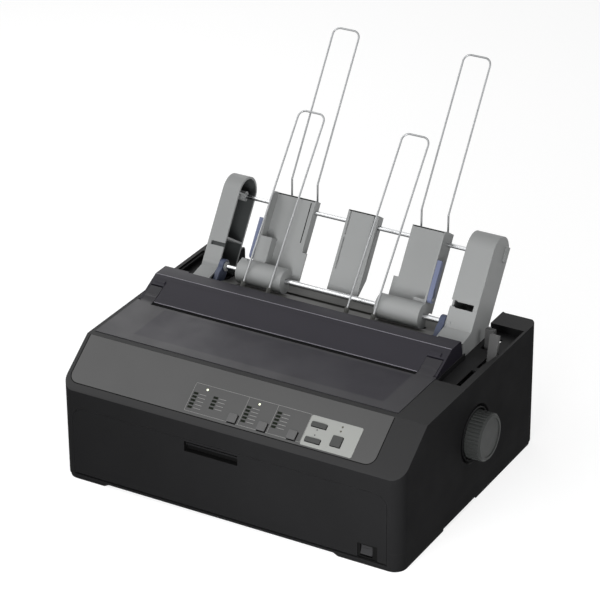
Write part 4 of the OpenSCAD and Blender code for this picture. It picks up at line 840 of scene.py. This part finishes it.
ARM_LEFT = -170.0
ARM_INNER = -149.0
ARM_WALL = 2.4
ARM_LOW_W = -36.3
ARM_HIGH_W = 5.7
ARM_LOW_U = -6.0
ARM_TOP_U = 84.0
FACE_W = -11.0
HOPPER_TOP = 95.0


def add_box(bm, x0, x1, u0, u1, w0, w1):
    """A thin block on the feeder's faces."""
    add_prism(bm, [(x0, u0), (x1, u0), (x1, u1), (x0, u1)], w0, w1, on_feeder)


def arm_outline(inset):
    """The arm's side outline in u and w: a round head on a straight leg."""
    middle = (ARM_LOW_W + ARM_HIGH_W) / 2
    radius = (ARM_HIGH_W - ARM_LOW_W) / 2 - inset
    points = [(ARM_LOW_U, middle - radius)]
    for i in range(17):
        angle = math.radians(-90 + 180 * i / 16)
        points.append((ARM_TOP_U + radius * math.cos(angle), middle + radius * math.sin(angle)))
    points.append((ARM_LOW_U, middle + radius))
    return points


def make_arm_hollow_shade():
    """Dark plates in the left arm, whose hollow opens toward the middle: painted shade of the hollow."""
    bm = bmesh.new()
    def put(u, w, x):
        return on_feeder(x, u, w)
    floor_x = ARM_LEFT + ARM_WALL
    add_prism(bm, arm_outline(ARM_WALL + 0.1), floor_x - 0.1, floor_x + 0.3, put)
    outer = arm_outline(ARM_WALL - 0.05)
    inner = arm_outline(ARM_WALL + 0.35)
    add_frame(bm, outer, inner, floor_x, ARM_INNER - 0.15, put)
    piece_from(bm, "arm_hollow_shade", "chassis", "feeder_dark")


make_arm_hollow_shade()

HOPPERS = (("left_hopper", "left_hopper_unit", -111.7, -62.0),
           ("right_hopper", "right_hopper_unit", 58.0, 103.0),
           ("centre_support", "centre_unit", -21.0, 17.0))
STRIP_IN = FACE_W - 0.2
STRIP_OUT = FACE_W + 0.12


def make_hopper_trims():
    """A thin dark strip along each top edge, and beside the left hopper's right edge."""
    for name, body, x0, x1 in HOPPERS:
        bm = bmesh.new()
        add_box(bm, x0 + 1.2, x1 - 1.2, HOPPER_TOP - 1.5, HOPPER_TOP - 0.4, STRIP_IN, STRIP_OUT)
        if name == "left_hopper":
            add_box(bm, x1 - 5.6, x1 - 4.6, 46.0, HOPPER_TOP - 3.5, STRIP_IN, STRIP_OUT)
        piece_from(bm, name + "_dark_strip", body, "gap_and_shade_black")


make_hopper_trims()


# ---- light, floor and backdrop ----

def area_light(name, position, target, width, height, power):
    """A rectangular lamp that looks at a target; metres of the row frame."""
    data = bpy.data.lights.new(name, "AREA")
    data.shape = "RECTANGLE"
    data.size = width
    data.size_y = height
    data.energy = power
    light = bpy.data.objects.new(name, data)
    bpy.context.scene.collection.objects.link(light)
    light.location = position
    light.rotation_mode = "QUATERNION"
    light.rotation_quaternion = (Vector(target) - Vector(position)).to_track_quat("-Z", "Y")
    light.visible_camera = False


ROOM_LOW = 0.20
ROOM_HIGH = 0.75
FLOOR_GLOW = 0.74


def seen_directly(tree):
    """1 for rays from the camera and for those that metal, gloss and glass send on."""
    path = tree.nodes.new("ShaderNodeLightPath")
    total = path.outputs["Is Camera Ray"]
    for ray in ("Is Glossy Ray", "Is Transmission Ray"):
        add = tree.nodes.new("ShaderNodeMath")
        add.operation = "MAXIMUM"
        tree.links.new(total, add.inputs[0])
        tree.links.new(path.outputs[ray], add.inputs[1])
        total = add.outputs[0]
    return total


def make_world():
    world = bpy.data.worlds.new("studio")
    bpy.context.scene.world = world
    world.use_nodes = True
    tree = world.node_tree
    tree.nodes.clear()
    out = tree.nodes.new("ShaderNodeOutputWorld")
    # a soft grey room, lighter overhead, and plain white where the camera sees past the floor
    direction = tree.nodes.new("ShaderNodeTexCoord")
    parts = tree.nodes.new("ShaderNodeSeparateXYZ")
    tree.links.new(direction.outputs["Generated"], parts.inputs[0])
    level = tree.nodes.new("ShaderNodeMapRange")
    level.inputs["From Min"].default_value = -0.1
    level.inputs["From Max"].default_value = 1.0
    level.inputs["To Min"].default_value = ROOM_LOW
    level.inputs["To Max"].default_value = ROOM_HIGH
    tree.links.new(parts.outputs["Z"], level.inputs["Value"])
    room = tree.nodes.new("ShaderNodeBackground")
    tree.links.new(level.outputs[0], room.inputs["Strength"])
    white = tree.nodes.new("ShaderNodeBackground")
    white.inputs["Color"].default_value = (1, 1, 1, 1)
    mix = tree.nodes.new("ShaderNodeMixShader")
    tree.links.new(seen_directly(tree), mix.inputs[0])
    tree.links.new(room.outputs[0], mix.inputs[1])
    tree.links.new(white.outputs[0], mix.inputs[2])
    tree.links.new(mix.outputs[0], out.inputs[0])


def make_floor():
    mesh = bpy.data.meshes.new("floor")
    reach = 14.0
    square = [(-reach, -reach, 0), (reach, -reach, 0), (reach, reach, 0), (-reach, reach, 0)]
    mesh.from_pydata(square, [], [(0, 1, 2, 3)])
    floor = bpy.data.objects.new("floor", mesh)
    bpy.context.scene.collection.objects.link(floor)
    s = Shader("floor_white")
    tone = s.blend(s.noise(0.7, 3.0), (0.335, 0.335, 0.335), (0.355, 0.355, 0.355))
    s.link(tone, s.surface.inputs["Base Color"])
    s.surface.inputs["Roughness"].default_value = 0.9
    s.surface.inputs["Specular IOR Level"].default_value = 0.0
    s.surface.inputs["Emission Color"].default_value = (1, 1, 1, 1)
    s.link(s.times(seen_directly(s.tree), FLOOR_GLOW), s.surface.inputs["Emission Strength"])
    floor.data.materials.append(s.material)


make_world()
make_floor()
area_light("key", (-0.95, -0.40, 1.10), (0, 0, 0.1), 0.8, 0.8, 7.5)
area_light("back", (-0.95, 0.90, 0.80), (-0.1, -0.1, 0.15), 0.7, 0.6, 1.9)
area_light("front", (0.21, -0.70, 0.24), (0.17, -0.2, 0.06), 0.4, 0.4, 5.2)
area_light("right", (1.2, 0.3, 0.65), (0.1, 0, 0.2), 0.7, 0.7, 3.0)
